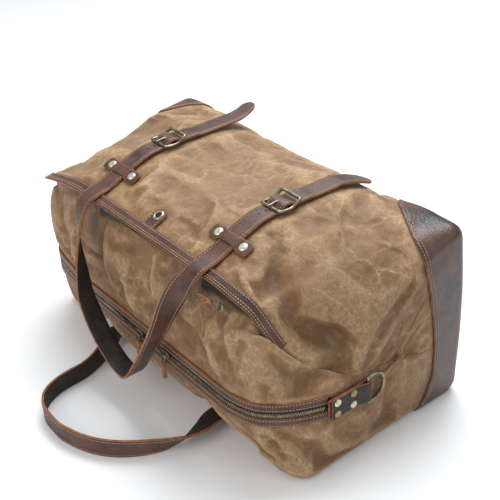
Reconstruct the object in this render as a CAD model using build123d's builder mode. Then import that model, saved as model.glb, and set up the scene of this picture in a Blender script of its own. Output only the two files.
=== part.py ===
from build123d import *
import math
import os

# Weekender bag of waxed canvas with leather trim, lying on its back.
# X runs along the bag, Y from the zip side (-Y) to the bottom panel (+Y), and Z up out of the front.
# The origin is on the flat back, in the middle of the bag's length. All sizes are in millimetres.

# Materials
CANVAS = 2.0
POCKET_CANVAS = 1.8
LINING = 0.8
LINER_GAP = 1.2
LEATHER = 2.0
STRAP_THICK = 3.0
STRAP_WIDE = 25.0
TIP_LONG = 10.0
TIP_WIDE = 8.0
GAP = 0.2
SEAT_GAP = 0.3
FAR = 280.0

# Stations along the bag, from the left end to the right end
END_X = 245.0
SHOULDER_X = 228.0
FLANK_X = 200.0
LEFT_STRAIGHT_X = -125.0
RIGHT_STRAIGHT_X = 160.0

# Corners of a cross-section, in order round the bag, starting on the floor at the bottom panel
FLOOR_LOW, BASE_MID, FRONT_LOW, FRONT_CREST, FRONT_CROWN, FRONT_SLOPE = range(6)
POCKET_EDGE, GUSSET_MID, ZIP_TOP, ZIP_FOOT, UNDERCUT, FLOOR_HIGH = range(6, 12)

# Heights of the zip band, and of the front where the buckles sit
ZIP_TOP_Z = 104.0
ZIP_FOOT_Z = 74.0
ZIP_MID_Z = (ZIP_TOP_Z + ZIP_FOOT_Z) / 2
BUCKLE_Z = 249.0
ZIP_SIDE_Y = -162.0

MIDDLE = [
    (109, 0), (116, 100), (102, 230), (50, BUCKLE_Z), (-55, BUCKLE_Z), (-84, 241),
    (-145, 214), (-153, 165), (ZIP_SIDE_Y, ZIP_TOP_Z), (ZIP_SIDE_Y, ZIP_FOOT_Z), (-145, 34), (-112, 0),
]
RIGHT_FLANK = [
    (109, 0), (115, 110), (102, 233), (55, 238), (0, 228), (-70, 213),
    (-146, 193), (-151, 148), (-153, ZIP_TOP_Z), (-153, ZIP_FOOT_Z), (-145, 34), (-132, 0),
]
RIGHT_SHOULDER = [
    (109, 0), (114, 115), (102, 231), (58, 229), (8, 212), (-45, 192),
    (-100, 168), (-118, 135), (-125, ZIP_TOP_Z), (-125, ZIP_FOOT_Z), (-132, 36), (-131, 0),
]
RIGHT_END = [
    (108, 0), (113, 120), (102, 230), (60, 220), (10, 197), (-32, 168),
    (-58, 141), (-74, 120), (-85, ZIP_TOP_Z), (-85, ZIP_FOOT_Z), (-108, 36), (-125, 0),
]
LEFT_FLANK = [
    (109, 0), (115, 110), (102, 232), (55, 237), (-5, 229), (-75, 215),
    (-144, 200), (-150, 150), (-153, ZIP_TOP_Z), (-153, ZIP_FOOT_Z), (-145, 34), (-130, 0),
]
LEFT_SHOULDER = [
    (109, 0), (114, 115), (102, 231), (56, 229), (0, 220), (-68, 207),
    (-136, 190), (-132, 150), (-128, ZIP_TOP_Z), (-128, ZIP_FOOT_Z), (-132, 36), (-130, 0),
]
LEFT_END = [
    (108, 0), (113, 120), (102, 230), (55, 221), (0, 212), (-58, 200),
    (-124, 184), (-106, 140), (-92, ZIP_TOP_Z), (-92, ZIP_FOOT_Z), (-108, 36), (-122, 0),
]
STATIONS = [
    (-END_X, LEFT_END), (-SHOULDER_X, LEFT_SHOULDER), (-FLANK_X, LEFT_FLANK),
    (LEFT_STRAIGHT_X, MIDDLE), (RIGHT_STRAIGHT_X, MIDDLE),
    (FLANK_X, RIGHT_FLANK), (SHOULDER_X, RIGHT_SHOULDER), (END_X, RIGHT_END),
]

# Leather corner caps
CAP_LONG = 93.0
CAP_TOP_Y = 38.0
CAP_SEAM_Y = 70.0

# Pocket edge trim and pocket zip
TRIM_WIDE = 14.0
TRIM_OVERHANG = 5.0
POCKET_ZIP_WIDE = 14.0
POCKET_ZIP_START = 9.0
POCKET_TAPE_THICK = 0.8
POCKET_TEETH_THICK = 1.2
POCKET_TEETH_WIDE = 4.0
POCKET_SLIDER_X = 150.0
POCKET_SLIDER_LONG = 12.0
POCKET_SLIDER_WIDE = 9.0
POCKET_PLATE = 1.6
POCKET_LUG_OUT = 3.7
POCKET_EYE_OUT = 2.6

# Main zip
ZIP_TRIM_WIDE = 10.5
ZIP_TRIM_LAP = 0.5
TAPE_LAP = 1.0
TAPE_THICK = 1.0
TEETH_WIDE = 5.0
TEETH_THICK = 3.0
TOOTH_PITCH = 6.0
TOOTH_GAP = 0.15
TOOTH_LIP = 1.2
TOOTH_TIP = 1.0
SLIDER_LONG = 15.0
SLIDER_WIDE = 10.0
SLIDER_THICK = 2.2
SLIDER_BACK = 1.4
LEFT_SLIDER_X = 4.0
RIGHT_SLIDER_X = 56.0

# Mouth of the lining behind the zip
ZIP_MOUTH_LONG = 380.0
ZIP_MOUTH_TALL = 18.0
ZIP_MOUTH_DEEP = 60.0

# Base board
BOARD_THICK = 2.5
BOARD_FOOT_Z = 12.0
BOARD_TOP_Z = 215.0

# Pulls: a metal link on a pin between the slider's lugs, and a leather thong
LUG_OUT = 4.4
LUG_THICK = 1.6
LUG_WIDE = 3.0
LUG_OVER_PIN = 1.2
PIN_RADIUS = 0.6
PIN_PLAY = 0.06
PIN_RISE = 1.7
EYE_WALL = 0.7
LINK_LONG = 13.0
LINK_THICK = 1.6
THONG_WIDE = 7.0
THONG_LONG = 24.0
THONG_THICK = 2.4

# Straps, keepers, buckles
STRAP_X = 106.0
KEEPER_LONG = 64.0
KEEPER_END = 17.0
KEEPER_WAIST = 12.5
KEEPER_WAIST_LONG = 24.0
KEEPER_STEP = 7.0
RIVET_SPACING = 42.0
RIVET_RADIUS = 5.75
RIVET_RISE = 1.8
SHANK_RADIUS = 1.6
BUCKLE_Y = -30.0
BUCKLE_PITCH = 14.0
BUCKLE_INNER = 27.0
BAR_RADIUS = 1.5
ARM_THICK = 2.8
ARM_HALF = 1.75
CHAPE_THICK = 1.5
CHAPE_LONG = 36.0
CHAPE_WIDE = 22.0
PRONG_RADIUS = 1.1
PRONG_SLOT_WIDE = 5.0

# Eyelet tab
TAB_WIDE = 19.5
TAB_STRAIGHT = 19.4
EYELET_TO_TRIM = 20.0
EYELET_BORE = 3.75
EYELET_BARREL = 4.6
EYELET_FLANGE = 7.0

# End tabs and D-rings
END_TAB_START = -90.0
END_TAB_TALL = 26.0
RING_BAR_Y = -37.0
D_WIRE = 2.0
D_INNER = 28.0
D_REACH = 24.0
END_RIVET_RADIUS = 4.6
END_RIVET_Y = (-81.0, -58.0)
END_RIVET_RISE = 7.5
END_RIVET_DOME = 1.6
TAB_FOLD = 12.0

# Carrying handles
HINGE_FRONT = (-148.0, 222.0)
HINGE_BACK = (-131.0, 14.0)
HINGE_GAP = 1.0
BACK_END_LOW = 7.0
BACK_END_HIGH = 20.0

os.makedirs("parts", exist_ok=True)


def shifted(points, distance, closed=False):
    """The line moved to its left by distance, with mitred corners. A negative distance moves it outwards."""
    count = len(points)
    normals = []
    for (ax, ay), (bx, by) in zip(points, points[1:] + points[:1]):
        length = math.hypot(bx - ax, by - ay)
        normals.append(((ay - by) / length, (bx - ax) / length))
    moved = []
    for index, (x, y) in enumerate(points):
        after = normals[index]
        before = normals[index - 1]
        if not closed and index == 0:
            before = after
        if not closed and index == count - 1:
            after = before
        scale = distance / (1 + before[0] * after[0] + before[1] * after[1])
        moved.append((x + (before[0] + after[0]) * scale, y + (before[1] + after[1]) * scale))
    return moved


def ribbon(points, low, high):
    """Closed outline of a band that follows an open line, between two offsets from it."""
    return shifted(points, low) + shifted(points, high)[::-1]


def strip(outline, first, last, low, high):
    """Closed outline of a wall between two depths, from corner first on to corner last."""
    order = [index % len(outline) for index in range(first, last + 1)]
    near = shifted(outline, low, closed=True)
    far = shifted(outline, high, closed=True)
    return [near[index] for index in order] + [far[index] for index in reversed(order)]


def prism(plane, points, depth):
    """A straight block with the given outline, drawn on a plane and raised from it."""
    with BuildPart() as block:
        with BuildSketch(plane):
            with BuildLine():
                Polyline(*points, close=True)
            make_face()
        extrude(amount=depth)
    return block


def ruled_body(sections):
    """A solid with straight-ruled sides through outlines at stations along X."""
    with BuildPart() as body:
        for x, points in sections:
            with BuildSketch(Plane.YZ.offset(x)):
                with BuildLine():
                    Polyline(*points, close=True)
                make_face()
        loft(ruled=True)
    return body


def wall(first, last, low, high, stations=STATIONS):
    """A panel of the bag between two corners of the cross-section and two depths."""
    return ruled_body([(x, strip(outline, first, last, low, high)) for x, outline in stations])


def envelope(depth, end):
    """The whole bag as one closed solid, moved in by depth, with its ends at plus and minus end."""
    ends = {-END_X: -end, END_X: end}
    return ruled_body([(ends.get(x, x), shifted(outline, depth, closed=True)) for x, outline in STATIONS])


def bar(start, end, radius):
    """A straight round bar between two points."""
    line = Vector(*end) - Vector(*start)
    with BuildPart() as cylinder:
        with BuildSketch(Plane(origin=start, z_dir=line)):
            Circle(radius)
        extrude(amount=line.length)
    return cylinder


def strap_run(stations):
    """A flat strap through stations of centre, width direction, given as points and unit vectors."""
    centres = [Vector(*centre) for centre, _ in stations]
    with BuildPart() as run:
        for index, (centre, width) in enumerate(stations):
            ahead = centres[min(index + 1, len(centres) - 1)]
            behind = centres[max(index - 1, 0)]
            heading = (ahead - behind).normalized()
            across = Vector(*width)
            across = (across - heading * across.dot(heading)).normalized()
            with BuildSketch(Plane(origin=centres[index], x_dir=across, z_dir=heading)):
                Rectangle(STRAP_WIDE, STRAP_THICK)
        loft(ruled=True)
    return run


def along(start, end, distance):
    """The point at a distance from start towards end."""
    share = distance / math.dist(start, end)
    return (start[0] + (end[0] - start[0]) * share, start[1] + (end[1] - start[1]) * share)


def save(builder, name):
    builder.part.label = name
    export_step(builder.part, f"parts/{name}.step")


# ---- Canvas body: sewn panels round an open inside ----

with BuildPart() as left_end_panel:
    with BuildSketch(Plane.YZ.offset(-END_X)):
        with BuildLine():
            Polyline(*shifted(LEFT_END, CANVAS + GAP, closed=True), close=True)
        make_face()
    extrude(amount=CANVAS)
save(left_end_panel, "end_panel_left")

with BuildPart() as right_end_panel:
    with BuildSketch(Plane.YZ.offset(END_X)):
        with BuildLine():
            Polyline(*shifted(RIGHT_END, CANVAS + GAP, closed=True), close=True)
        make_face()
    extrude(amount=-CANVAS)
save(right_end_panel, "end_panel_right")

back_panel = wall(FLOOR_HIGH, FLOOR_HIGH + 1, 0, CANVAS)
save(back_panel, "back_panel")

bottom_panel = wall(FLOOR_LOW, FRONT_LOW, 0, CANVAS)
save(bottom_panel, "bottom_panel")

front_panel = wall(FRONT_LOW, POCKET_EDGE, 0, CANVAS)
save(front_panel, "front_panel")

upper_gusset = wall(POCKET_EDGE, ZIP_TOP, 0, CANVAS)
save(upper_gusset, "zip_gusset_front")

lower_gusset = wall(ZIP_FOOT, FLOOR_HIGH, 0, CANVAS)
save(lower_gusset, "zip_gusset_back")

# The pocket panel lies on the front panel, and its open edge is at the trim
POCKET_STATIONS = STATIONS[1:-1]
pocket_panel = wall(FRONT_LOW, POCKET_EDGE, -GAP / 2 - POCKET_CANVAS, -GAP / 2, POCKET_STATIONS)
save(pocket_panel, "pocket_panel")
POCKET_FACE = GAP / 2 + POCKET_CANVAS

# The lining is one bag inside the canvas, open along the zip
liner_depth = CANVAS + LINER_GAP
liner_end = END_X - 2 * CANVAS
with BuildPart() as lining:
    add(envelope(liner_depth, liner_end).part)
    add(envelope(liner_depth + LINING, liner_end - LINING).part, mode=Mode.SUBTRACT)
    with BuildSketch(Plane.XZ.offset(-ZIP_SIDE_Y - ZIP_MOUTH_DEEP / 2)):
        with Locations((0, ZIP_MID_Z)):
            Rectangle(ZIP_MOUTH_LONG, ZIP_MOUTH_TALL)
    extrude(amount=ZIP_MOUTH_DEEP, mode=Mode.SUBTRACT)
save(lining, "lining")

# A stiff board inside the lining keeps the bottom flat
board_depth = liner_depth + LINING + SEAT_GAP
board_stations = [(x, outline) for x, outline in STATIONS if abs(x) <= FLANK_X]
with BuildPart() as base_board:
    add(wall(FLOOR_LOW, FRONT_LOW, board_depth, board_depth + BOARD_THICK, board_stations).part)
    with BuildSketch(Plane.XY):
        Rectangle(2 * END_X, 2 * END_X)
    extrude(amount=BOARD_FOOT_Z, mode=Mode.SUBTRACT)
    with BuildSketch(Plane.XY.offset(BOARD_TOP_Z)):
        Rectangle(2 * END_X, 2 * END_X)
    extrude(amount=FAR - BOARD_TOP_Z, mode=Mode.SUBTRACT)
save(base_board, "base_board")

# ---- Leather corner caps: a skin over the envelope, cut to the cap's outline ----

for side, name in ((-1, "corner_cap_left"), (1, "corner_cap_right")):
    cap_start = side * (END_X - CAP_LONG)
    plan = [
        (cap_start, FAR), (cap_start, 104), (side * 180, 76),
        (side * 206, 54), (side * 230, CAP_TOP_Y), (side * FAR, CAP_TOP_Y), (side * FAR, FAR),
    ]
    end_view = [
        (CAP_TOP_Y, FAR), (CAP_TOP_Y, 225), (48, 190), (CAP_SEAM_Y - 2, 130), (CAP_SEAM_Y, 90),
        (CAP_SEAM_Y - 6, 45), (46, 0), (FAR, 0), (FAR, FAR),
    ]
    plan_cut = prism(Plane.XY, plan, FAR)
    end_cut = prism(Plane.YZ, end_view, side * FAR)
    with BuildPart() as cap:
        add(envelope(-LEATHER - POCKET_FACE - GAP, END_X + LEATHER + GAP).part)
        add(envelope(-POCKET_FACE - GAP, END_X + GAP).part, mode=Mode.SUBTRACT)
        add(plan_cut.part, mode=Mode.INTERSECT)
        add(end_cut.part, mode=Mode.INTERSECT)
    save(cap, name)

# ---- Pocket edge: leather trim, and the pocket's own zip under it ----

trim_stations = STATIONS[:-1]
trim_sections = []
for x, outline in trim_stations:
    low = shifted(outline, -POCKET_FACE - GAP, closed=True)
    high = shifted(outline, -POCKET_FACE - GAP - LEATHER, closed=True)
    edge, inner = low[POCKET_EDGE], low[FRONT_SLOPE]
    top_edge, top_inner = high[POCKET_EDGE], high[FRONT_SLOPE]
    trim_sections.append((x, [
        along(edge, inner, -TRIM_OVERHANG), along(edge, inner, TRIM_WIDE - TRIM_OVERHANG),
        along(top_edge, top_inner, TRIM_WIDE - TRIM_OVERHANG), along(top_edge, top_inner, -TRIM_OVERHANG),
    ]))
pocket_trim = ruled_body(trim_sections)
save(pocket_trim, "pocket_edge_trim")

GUSSET_EDGE, GUSSET_LOW = MIDDLE[POCKET_EDGE], MIDDLE[GUSSET_MID]
gusset_face = Plane(
    origin=(0, *GUSSET_EDGE),
    x_dir=(1, 0, 0),
    z_dir=Vector(0, GUSSET_LOW[1] - GUSSET_EDGE[1], GUSSET_EDGE[0] - GUSSET_LOW[0]).normalized(),
)
# Local y on this plane runs up the gusset towards the pocket edge
pocket_zip_y = -POCKET_ZIP_START - POCKET_ZIP_WIDE / 2
pocket_zip_long = RIGHT_STRAIGHT_X - LEFT_STRAIGHT_X - 4
pocket_zip_x = (RIGHT_STRAIGHT_X + LEFT_STRAIGHT_X) / 2
with BuildPart() as pocket_tape:
    with BuildSketch(gusset_face.offset(GAP)):
        with Locations((pocket_zip_x, pocket_zip_y)):
            Rectangle(pocket_zip_long, POCKET_ZIP_WIDE)
    extrude(amount=POCKET_TAPE_THICK)
save(pocket_tape, "pocket_zip_tape")

with BuildPart() as pocket_teeth:
    with BuildSketch(gusset_face.offset(2 * GAP + POCKET_TAPE_THICK)):
        with Locations((pocket_zip_x, pocket_zip_y)):
            Rectangle(pocket_zip_long - 8, POCKET_TEETH_WIDE)
    extrude(amount=POCKET_TEETH_THICK)
save(pocket_teeth, "pocket_zip_teeth")

pocket_slider_base = 2 * GAP + POCKET_TAPE_THICK + POCKET_TEETH_THICK + SEAT_GAP
pull_pin_x = POCKET_SLIDER_X - 2
pull_pin_rise = pocket_slider_base + POCKET_PLATE + PIN_RISE
pull_pin_ends = [
    gusset_face.from_local_coords((pull_pin_x, pocket_zip_y + mark * POCKET_LUG_OUT, pull_pin_rise))
    for mark in (-1, 1)
]
pull_eye_ends = [
    gusset_face.from_local_coords((pull_pin_x, pocket_zip_y + mark * POCKET_EYE_OUT, pull_pin_rise))
    for mark in (-1, 1)
]
with BuildPart() as pocket_slider:
    with BuildSketch(gusset_face.offset(pocket_slider_base)):
        with Locations((POCKET_SLIDER_X, pocket_zip_y)):
            RectangleRounded(POCKET_SLIDER_LONG, POCKET_SLIDER_WIDE, 2)
    extrude(amount=POCKET_PLATE)
    with BuildSketch(gusset_face.offset(pocket_slider_base + POCKET_PLATE)):
        with Locations((pull_pin_x, pocket_zip_y)):
            with GridLocations(0, 2 * POCKET_LUG_OUT, 1, 2):
                Rectangle(LUG_WIDE, LUG_THICK)
    extrude(amount=PIN_RISE + LUG_OVER_PIN)
    add(bar(*pull_pin_ends, PIN_RADIUS).part)
save(pocket_slider, "pocket_zip_slider")

# The pocket pull lies along the zip: a metal link through the slider's pin, and a split thong
with BuildPart() as pocket_pull:
    with BuildSketch(gusset_face.offset(pull_pin_rise - LINK_THICK / 2)):
        with Locations((pull_pin_x - LINK_LONG / 2, pocket_zip_y)):
            SlotOverall(LINK_LONG, 5.2)
            SlotOverall(LINK_LONG - 3, 2.4, mode=Mode.SUBTRACT)
    extrude(amount=LINK_THICK)
    add(bar(*pull_eye_ends, PIN_RADIUS + EYE_WALL).part)
    add(bar(*pull_pin_ends, PIN_RADIUS + PIN_PLAY).part, mode=Mode.SUBTRACT)
save(pocket_pull, "pocket_zip_pull")

thong_start = pull_pin_x - LINK_LONG + 1
with BuildPart() as pocket_thong:
    with BuildSketch(gusset_face.offset(pull_pin_rise - THONG_THICK / 2)):
        with BuildLine():
            Polyline(
                (thong_start, pocket_zip_y + 3), (thong_start - 21, pocket_zip_y + 2),
                (thong_start - 21, pocket_zip_y - 1.5), (thong_start - 13, pocket_zip_y - 1),
                (thong_start - 20, pocket_zip_y - 9.5), (thong_start - 16, pocket_zip_y - 12),
                (thong_start, pocket_zip_y - 3), close=True,
            )
        make_face()
    extrude(amount=THONG_THICK)
save(pocket_thong, "pocket_zip_thong")

# ---- Main zip: bands that follow the zip side's plan line and turn onto both ends ----

zip_line = [(x, outline[ZIP_TOP][0]) for x, outline in STATIONS]
trim_line = [(-END_X, END_TAB_START + 8)] + zip_line + [(END_X, END_TAB_START + 8)]


def zip_band(line, low, high, foot, top):
    """A vertical band that follows a plan line between two offsets and two heights."""
    return prism(Plane.XY.offset(foot), ribbon(line, low, high), top - foot)


teeth_foot = ZIP_MID_Z - TEETH_WIDE / 2
teeth_top = ZIP_MID_Z + TEETH_WIDE / 2
tape_low, tape_high = GAP, GAP + TAPE_THICK
save(zip_band(zip_line, tape_low, tape_high, teeth_top + GAP / 2, ZIP_TOP_Z - TAPE_LAP), "zip_tape_front")
save(zip_band(zip_line, tape_low, tape_high, ZIP_FOOT_Z + TAPE_LAP, teeth_foot - GAP / 2), "zip_tape_back")
trim_low, trim_high = -GAP - LEATHER, -GAP
front_trim_top = ZIP_TOP_Z + ZIP_TRIM_LAP
back_trim_foot = ZIP_FOOT_Z - ZIP_TRIM_LAP
for foot, name in ((front_trim_top - ZIP_TRIM_WIDE, "zip_trim_front"), (back_trim_foot, "zip_trim_back")):
    save(zip_band(trim_line, trim_low, trim_high, foot, foot + ZIP_TRIM_WIDE), name)

teeth_start = LEFT_STRAIGHT_X + TOOTH_PITCH
tooth_count = int((RIGHT_STRAIGHT_X - teeth_start) / TOOTH_PITCH) - 1
for side, name in ((1, "zip_teeth_front"), (-1, "zip_teeth_back")):
    root = ZIP_MID_Z + side * TEETH_WIDE / 2
    lip = ZIP_MID_Z + side * TOOTH_LIP
    tip = ZIP_MID_Z - side * TOOTH_TIP
    phase = 0 if side > 0 else TOOTH_PITCH / 2
    comb = [(LEFT_STRAIGHT_X + 1, root), (LEFT_STRAIGHT_X + 1, lip)]
    for count in range(tooth_count):
        start = teeth_start + phase + count * TOOTH_PITCH
        end = start + TOOTH_PITCH / 2 - TOOTH_GAP
        comb += [(start, lip), (start, tip), (end, tip), (end, lip)]
    comb += [(RIGHT_STRAIGHT_X - 1, lip), (RIGHT_STRAIGHT_X - 1, root)]
    with BuildPart() as teeth:
        with BuildSketch(Plane.XZ.offset(-ZIP_SIDE_Y - TEETH_THICK / 2)):
            with BuildLine():
                Polyline(*comb, close=True)
            make_face()
        extrude(amount=TEETH_THICK)
    save(teeth, name)

SLIDER_FACE = -ZIP_SIDE_Y + TEETH_THICK / 2 + SEAT_GAP
pin_y = -(SLIDER_FACE + SLIDER_THICK + PIN_RISE)
for x, side in ((LEFT_SLIDER_X, "left"), (RIGHT_SLIDER_X, "right")):
    with BuildPart() as slider:
        with BuildSketch(Plane.XZ.offset(SLIDER_FACE)):
            with Locations((x, ZIP_MID_Z)):
                RectangleRounded(SLIDER_LONG, SLIDER_WIDE, 3)
        extrude(amount=SLIDER_THICK)
        with BuildSketch(Plane.XZ.offset(SLIDER_FACE + SLIDER_THICK)):
            with Locations((x - LUG_OUT, ZIP_MID_Z), (x + LUG_OUT, ZIP_MID_Z)):
                Rectangle(LUG_THICK, LUG_WIDE)
        extrude(amount=PIN_RISE + LUG_OVER_PIN)
        add(bar((x - LUG_OUT, pin_y, ZIP_MID_Z), (x + LUG_OUT, pin_y, ZIP_MID_Z), PIN_RADIUS).part)
        with BuildSketch(Plane.XZ.offset(-ZIP_SIDE_Y - TEETH_THICK / 2 - SEAT_GAP)):
            with Locations((x, ZIP_MID_Z)):
                RectangleRounded(SLIDER_LONG, SLIDER_WIDE, 3)
        extrude(amount=-SLIDER_BACK)
    save(slider, f"zip_slider_{side}")

    # The pull hangs from the slider's pin: an eye and a long link
    eye = Vector(LUG_OUT - 1.1, 0, 0)
    hinge = Vector(x, pin_y, ZIP_MID_Z)
    with BuildPart() as link:
        with BuildSketch(Plane.XZ.offset(-pin_y)):
            with Locations((x, ZIP_MID_Z - LINK_LONG / 2)):
                SlotOverall(LINK_LONG, 6, rotation=90)
                SlotOverall(LINK_LONG - 3, 3.2, rotation=90, mode=Mode.SUBTRACT)
        extrude(amount=LINK_THICK / 2, both=True)
        add(bar(hinge - eye, hinge + eye, PIN_RADIUS + EYE_WALL).part)
        add(bar(hinge - 2 * eye, hinge + 2 * eye, PIN_RADIUS + PIN_PLAY).part, mode=Mode.SUBTRACT)
    save(link, f"zip_pull_link_{side}")

    thong_top = ZIP_MID_Z - LINK_LONG + 1
    with BuildPart() as thong:
        with BuildSketch(Plane.XZ.offset(-pin_y)):
            with Locations((x, thong_top - THONG_LONG / 2)):
                RectangleRounded(THONG_WIDE, THONG_LONG, 1.5)
        extrude(amount=THONG_THICK / 2, both=True)
    save(thong, f"zip_pull_thong_{side}")

# ---- Strap hardware on the front ----

FRONT_TOP = BUCKLE_Z + POCKET_FACE
SLOPE_TOP, SLOPE_FOOT = MIDDLE[FRONT_SLOPE], MIDDLE[POCKET_EDGE]
slope_length = math.dist(SLOPE_TOP, SLOPE_FOOT)
slope_run = ((SLOPE_FOOT[0] - SLOPE_TOP[0]) / slope_length, (SLOPE_FOOT[1] - SLOPE_TOP[1]) / slope_length)
slope_up = (slope_run[1], -slope_run[0])


def on_slope(distance, height):
    """(y, z) of a point a distance down the sloping front, at a height above the pocket panel."""
    rise = height + POCKET_FACE
    return (
        SLOPE_TOP[0] + slope_run[0] * distance + slope_up[0] * rise,
        SLOPE_TOP[1] + slope_run[1] * distance + slope_up[1] * rise,
    )


strap_rest = GAP + STRAP_THICK / 2
over_trim = LEATHER + 2 * GAP + STRAP_THICK / 2
bar_height = CHAPE_THICK + GAP + BAR_RADIUS
front_bar_height = STRAP_THICK + 2 * GAP + BAR_RADIUS
rear_bar_height = CHAPE_THICK + STRAP_THICK + 3 * GAP + BAR_RADIUS
over_bar = bar_height + BAR_RADIUS + GAP + CHAPE_THICK + GAP + STRAP_THICK / 2
over_chape = CHAPE_THICK + 2 * GAP + STRAP_THICK / 2
lifted = shifted(MIDDLE, -POCKET_FACE - strap_rest, closed=True)
tails = {
    "left": [
        (50, FRONT_TOP + strap_rest + GAP), (74, FRONT_TOP + 2.5), (90, FRONT_TOP + 6), (103, FRONT_TOP + 11),
    ],
    "right": [lifted[FRONT_CREST], along(lifted[FRONT_LOW], lifted[FRONT_CREST], 1)],
}
for sign, side in ((-1, "left"), (1, "right")):
    centre = sign * STRAP_X
    route = [
        (HINGE_FRONT[0] + HINGE_GAP, HINGE_FRONT[1] + HINGE_GAP / 2),
        on_slope(slope_length - TRIM_WIDE - 1, over_trim),
        on_slope(slope_length - TRIM_WIDE - 8, strap_rest), lifted[FRONT_SLOPE], lifted[FRONT_CROWN],
        (BUCKLE_Y - BUCKLE_PITCH + 2.4, FRONT_TOP + strap_rest),
        (BUCKLE_Y - 3.4, FRONT_TOP + over_bar), (BUCKLE_Y + 3.4, FRONT_TOP + over_bar),
        (BUCKLE_Y + BUCKLE_PITCH - 3.6, FRONT_TOP + over_chape),
        (BUCKLE_Y + CHAPE_LONG + 1, FRONT_TOP + over_chape),
        (BUCKLE_Y + CHAPE_LONG + 7, FRONT_TOP + strap_rest),
    ] + tails[side]
    outline = ribbon(route, -STRAP_THICK / 2, STRAP_THICK / 2)
    left, right = centre - STRAP_WIDE / 2, centre + STRAP_WIDE / 2
    tip, below = tails[side][-1][0], -FAR
    with BuildPart() as strap_end:
        with BuildSketch(Plane.YZ.offset(centre - STRAP_WIDE / 2)):
            with BuildLine():
                Polyline(*outline, close=True)
            make_face()
        extrude(amount=STRAP_WIDE)
        with BuildSketch(Plane.XY):
            with Locations((centre, BUCKLE_Y - 4)):
                Rectangle(PRONG_SLOT_WIDE, 16)
        extrude(amount=2 * BUCKLE_Z, mode=Mode.SUBTRACT)
        with BuildSketch(Plane.XY):
            with BuildLine():
                Polyline(
                    (left, below), (left, tip - TIP_LONG),
                    (centre - TIP_WIDE / 2, tip), (centre + TIP_WIDE / 2, tip),
                    (right, tip - TIP_LONG), (right, below), close=True,
                )
            make_face()
        extrude(amount=2 * BUCKLE_Z, mode=Mode.INTERSECT)
    save(strap_end, f"handle_end_{side}")

    # The chape is folded round the buckle's centre bar and sewn down under the strap's tail
    loop = CHAPE_THICK / 2 + GAP + BAR_RADIUS
    bar_z = FRONT_TOP + bar_height
    chape_route = [(BUCKLE_Y + CHAPE_LONG, FRONT_TOP + GAP / 2 + CHAPE_THICK / 2)]
    chape_route += [(BUCKLE_Y + 5, FRONT_TOP + GAP / 2 + CHAPE_THICK / 2)]
    for step in range(11):
        turn = math.radians(-90 - step * 27)
        chape_route.append((BUCKLE_Y + loop * math.cos(turn), bar_z + loop * math.sin(turn)))
    with BuildPart() as chape:
        with BuildSketch(Plane.YZ.offset(centre - CHAPE_WIDE / 2)):
            with BuildLine():
                Polyline(*ribbon(chape_route, -CHAPE_THICK / 2, CHAPE_THICK / 2), close=True)
            make_face()
        extrude(amount=CHAPE_WIDE)
        with BuildSketch(Plane.XY):
            with Locations((centre, BUCKLE_Y - 3)):
                Rectangle(PRONG_SLOT_WIDE + 1, 16)
        extrude(amount=2 * BUCKLE_Z, mode=Mode.SUBTRACT)
    save(chape, f"chape_{side}")

    # Buckle frame: two end bars and a centre bar between bowed arms
    arm_x = BUCKLE_INNER / 2 + ARM_THICK / 2
    front_bar = Vector(centre, BUCKLE_Y - BUCKLE_PITCH, FRONT_TOP + front_bar_height)
    rear_bar = Vector(centre, BUCKLE_Y + BUCKLE_PITCH, FRONT_TOP + rear_bar_height)
    centre_bar = Vector(centre, BUCKLE_Y, bar_z)
    arm_line = [
        (front_bar.Y - ARM_HALF, front_bar.Z), (front_bar.Y, front_bar.Z), (centre_bar.Y, centre_bar.Z + GAP),
        (rear_bar.Y, rear_bar.Z), (rear_bar.Y + ARM_HALF, rear_bar.Z),
    ]
    with BuildPart() as buckle:
        for mark in (-1, 1):
            with BuildSketch(Plane.YZ.offset(centre + mark * arm_x - ARM_THICK / 2)):
                with BuildLine():
                    Polyline(*ribbon(arm_line, -ARM_HALF, ARM_HALF), close=True)
                make_face()
            extrude(amount=ARM_THICK)
        reach = Vector(arm_x, 0, 0)
        for height in (front_bar, centre_bar, rear_bar):
            add(bar(height - reach, height + reach, BAR_RADIUS).part)
    save(buckle, f"buckle_{side}")

    # Prong: a ring on the centre bar and a pin whose tip rests on the front bar
    pin_tip = Vector(centre, BUCKLE_Y - BUCKLE_PITCH - 2, front_bar.Z + BAR_RADIUS + PRONG_RADIUS + 2 * GAP)
    pin_root = Vector(centre, BUCKLE_Y - 2.0, bar_z + BAR_RADIUS + PRONG_RADIUS)
    with BuildPart() as prong:
        with BuildSketch(Plane.YZ.offset(centre - 1.5)):
            with Locations((BUCKLE_Y, bar_z)):
                Circle(BAR_RADIUS + 1.3)
                Circle(BAR_RADIUS + 0.08, mode=Mode.SUBTRACT)
        extrude(amount=3)
        with BuildSketch(Plane(origin=pin_root, z_dir=pin_tip - pin_root)):
            Circle(PRONG_RADIUS)
        extrude(amount=(pin_tip - pin_root).length)
        with BuildSketch(Plane.YZ.offset(centre - 3)):
            with Locations((BUCKLE_Y, bar_z)):
                Circle(BAR_RADIUS + 0.08)
        extrude(amount=6, mode=Mode.SUBTRACT)
    save(prong, f"buckle_prong_{side}")

# ---- Keepers that hold each strap down, and their rivets ----

KEEPER_FRAME = Plane(
    origin=(0, *on_slope(KEEPER_STEP + KEEPER_END / 2, 0)),
    x_dir=(1, 0, 0),
    z_dir=(0, *slope_run),
)


def rivet(top, shank, radius, rise):
    """Half outline of a domed rivet, as points from its axis, with its head's seat at height top."""
    return [
        (0, top + rise), (radius * 0.55, top + rise * 0.9), (radius * 0.9, top + rise * 0.55),
        (radius, top), (SHANK_RADIUS, top), (SHANK_RADIUS, top - shank), (0, top - shank),
    ]


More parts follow.
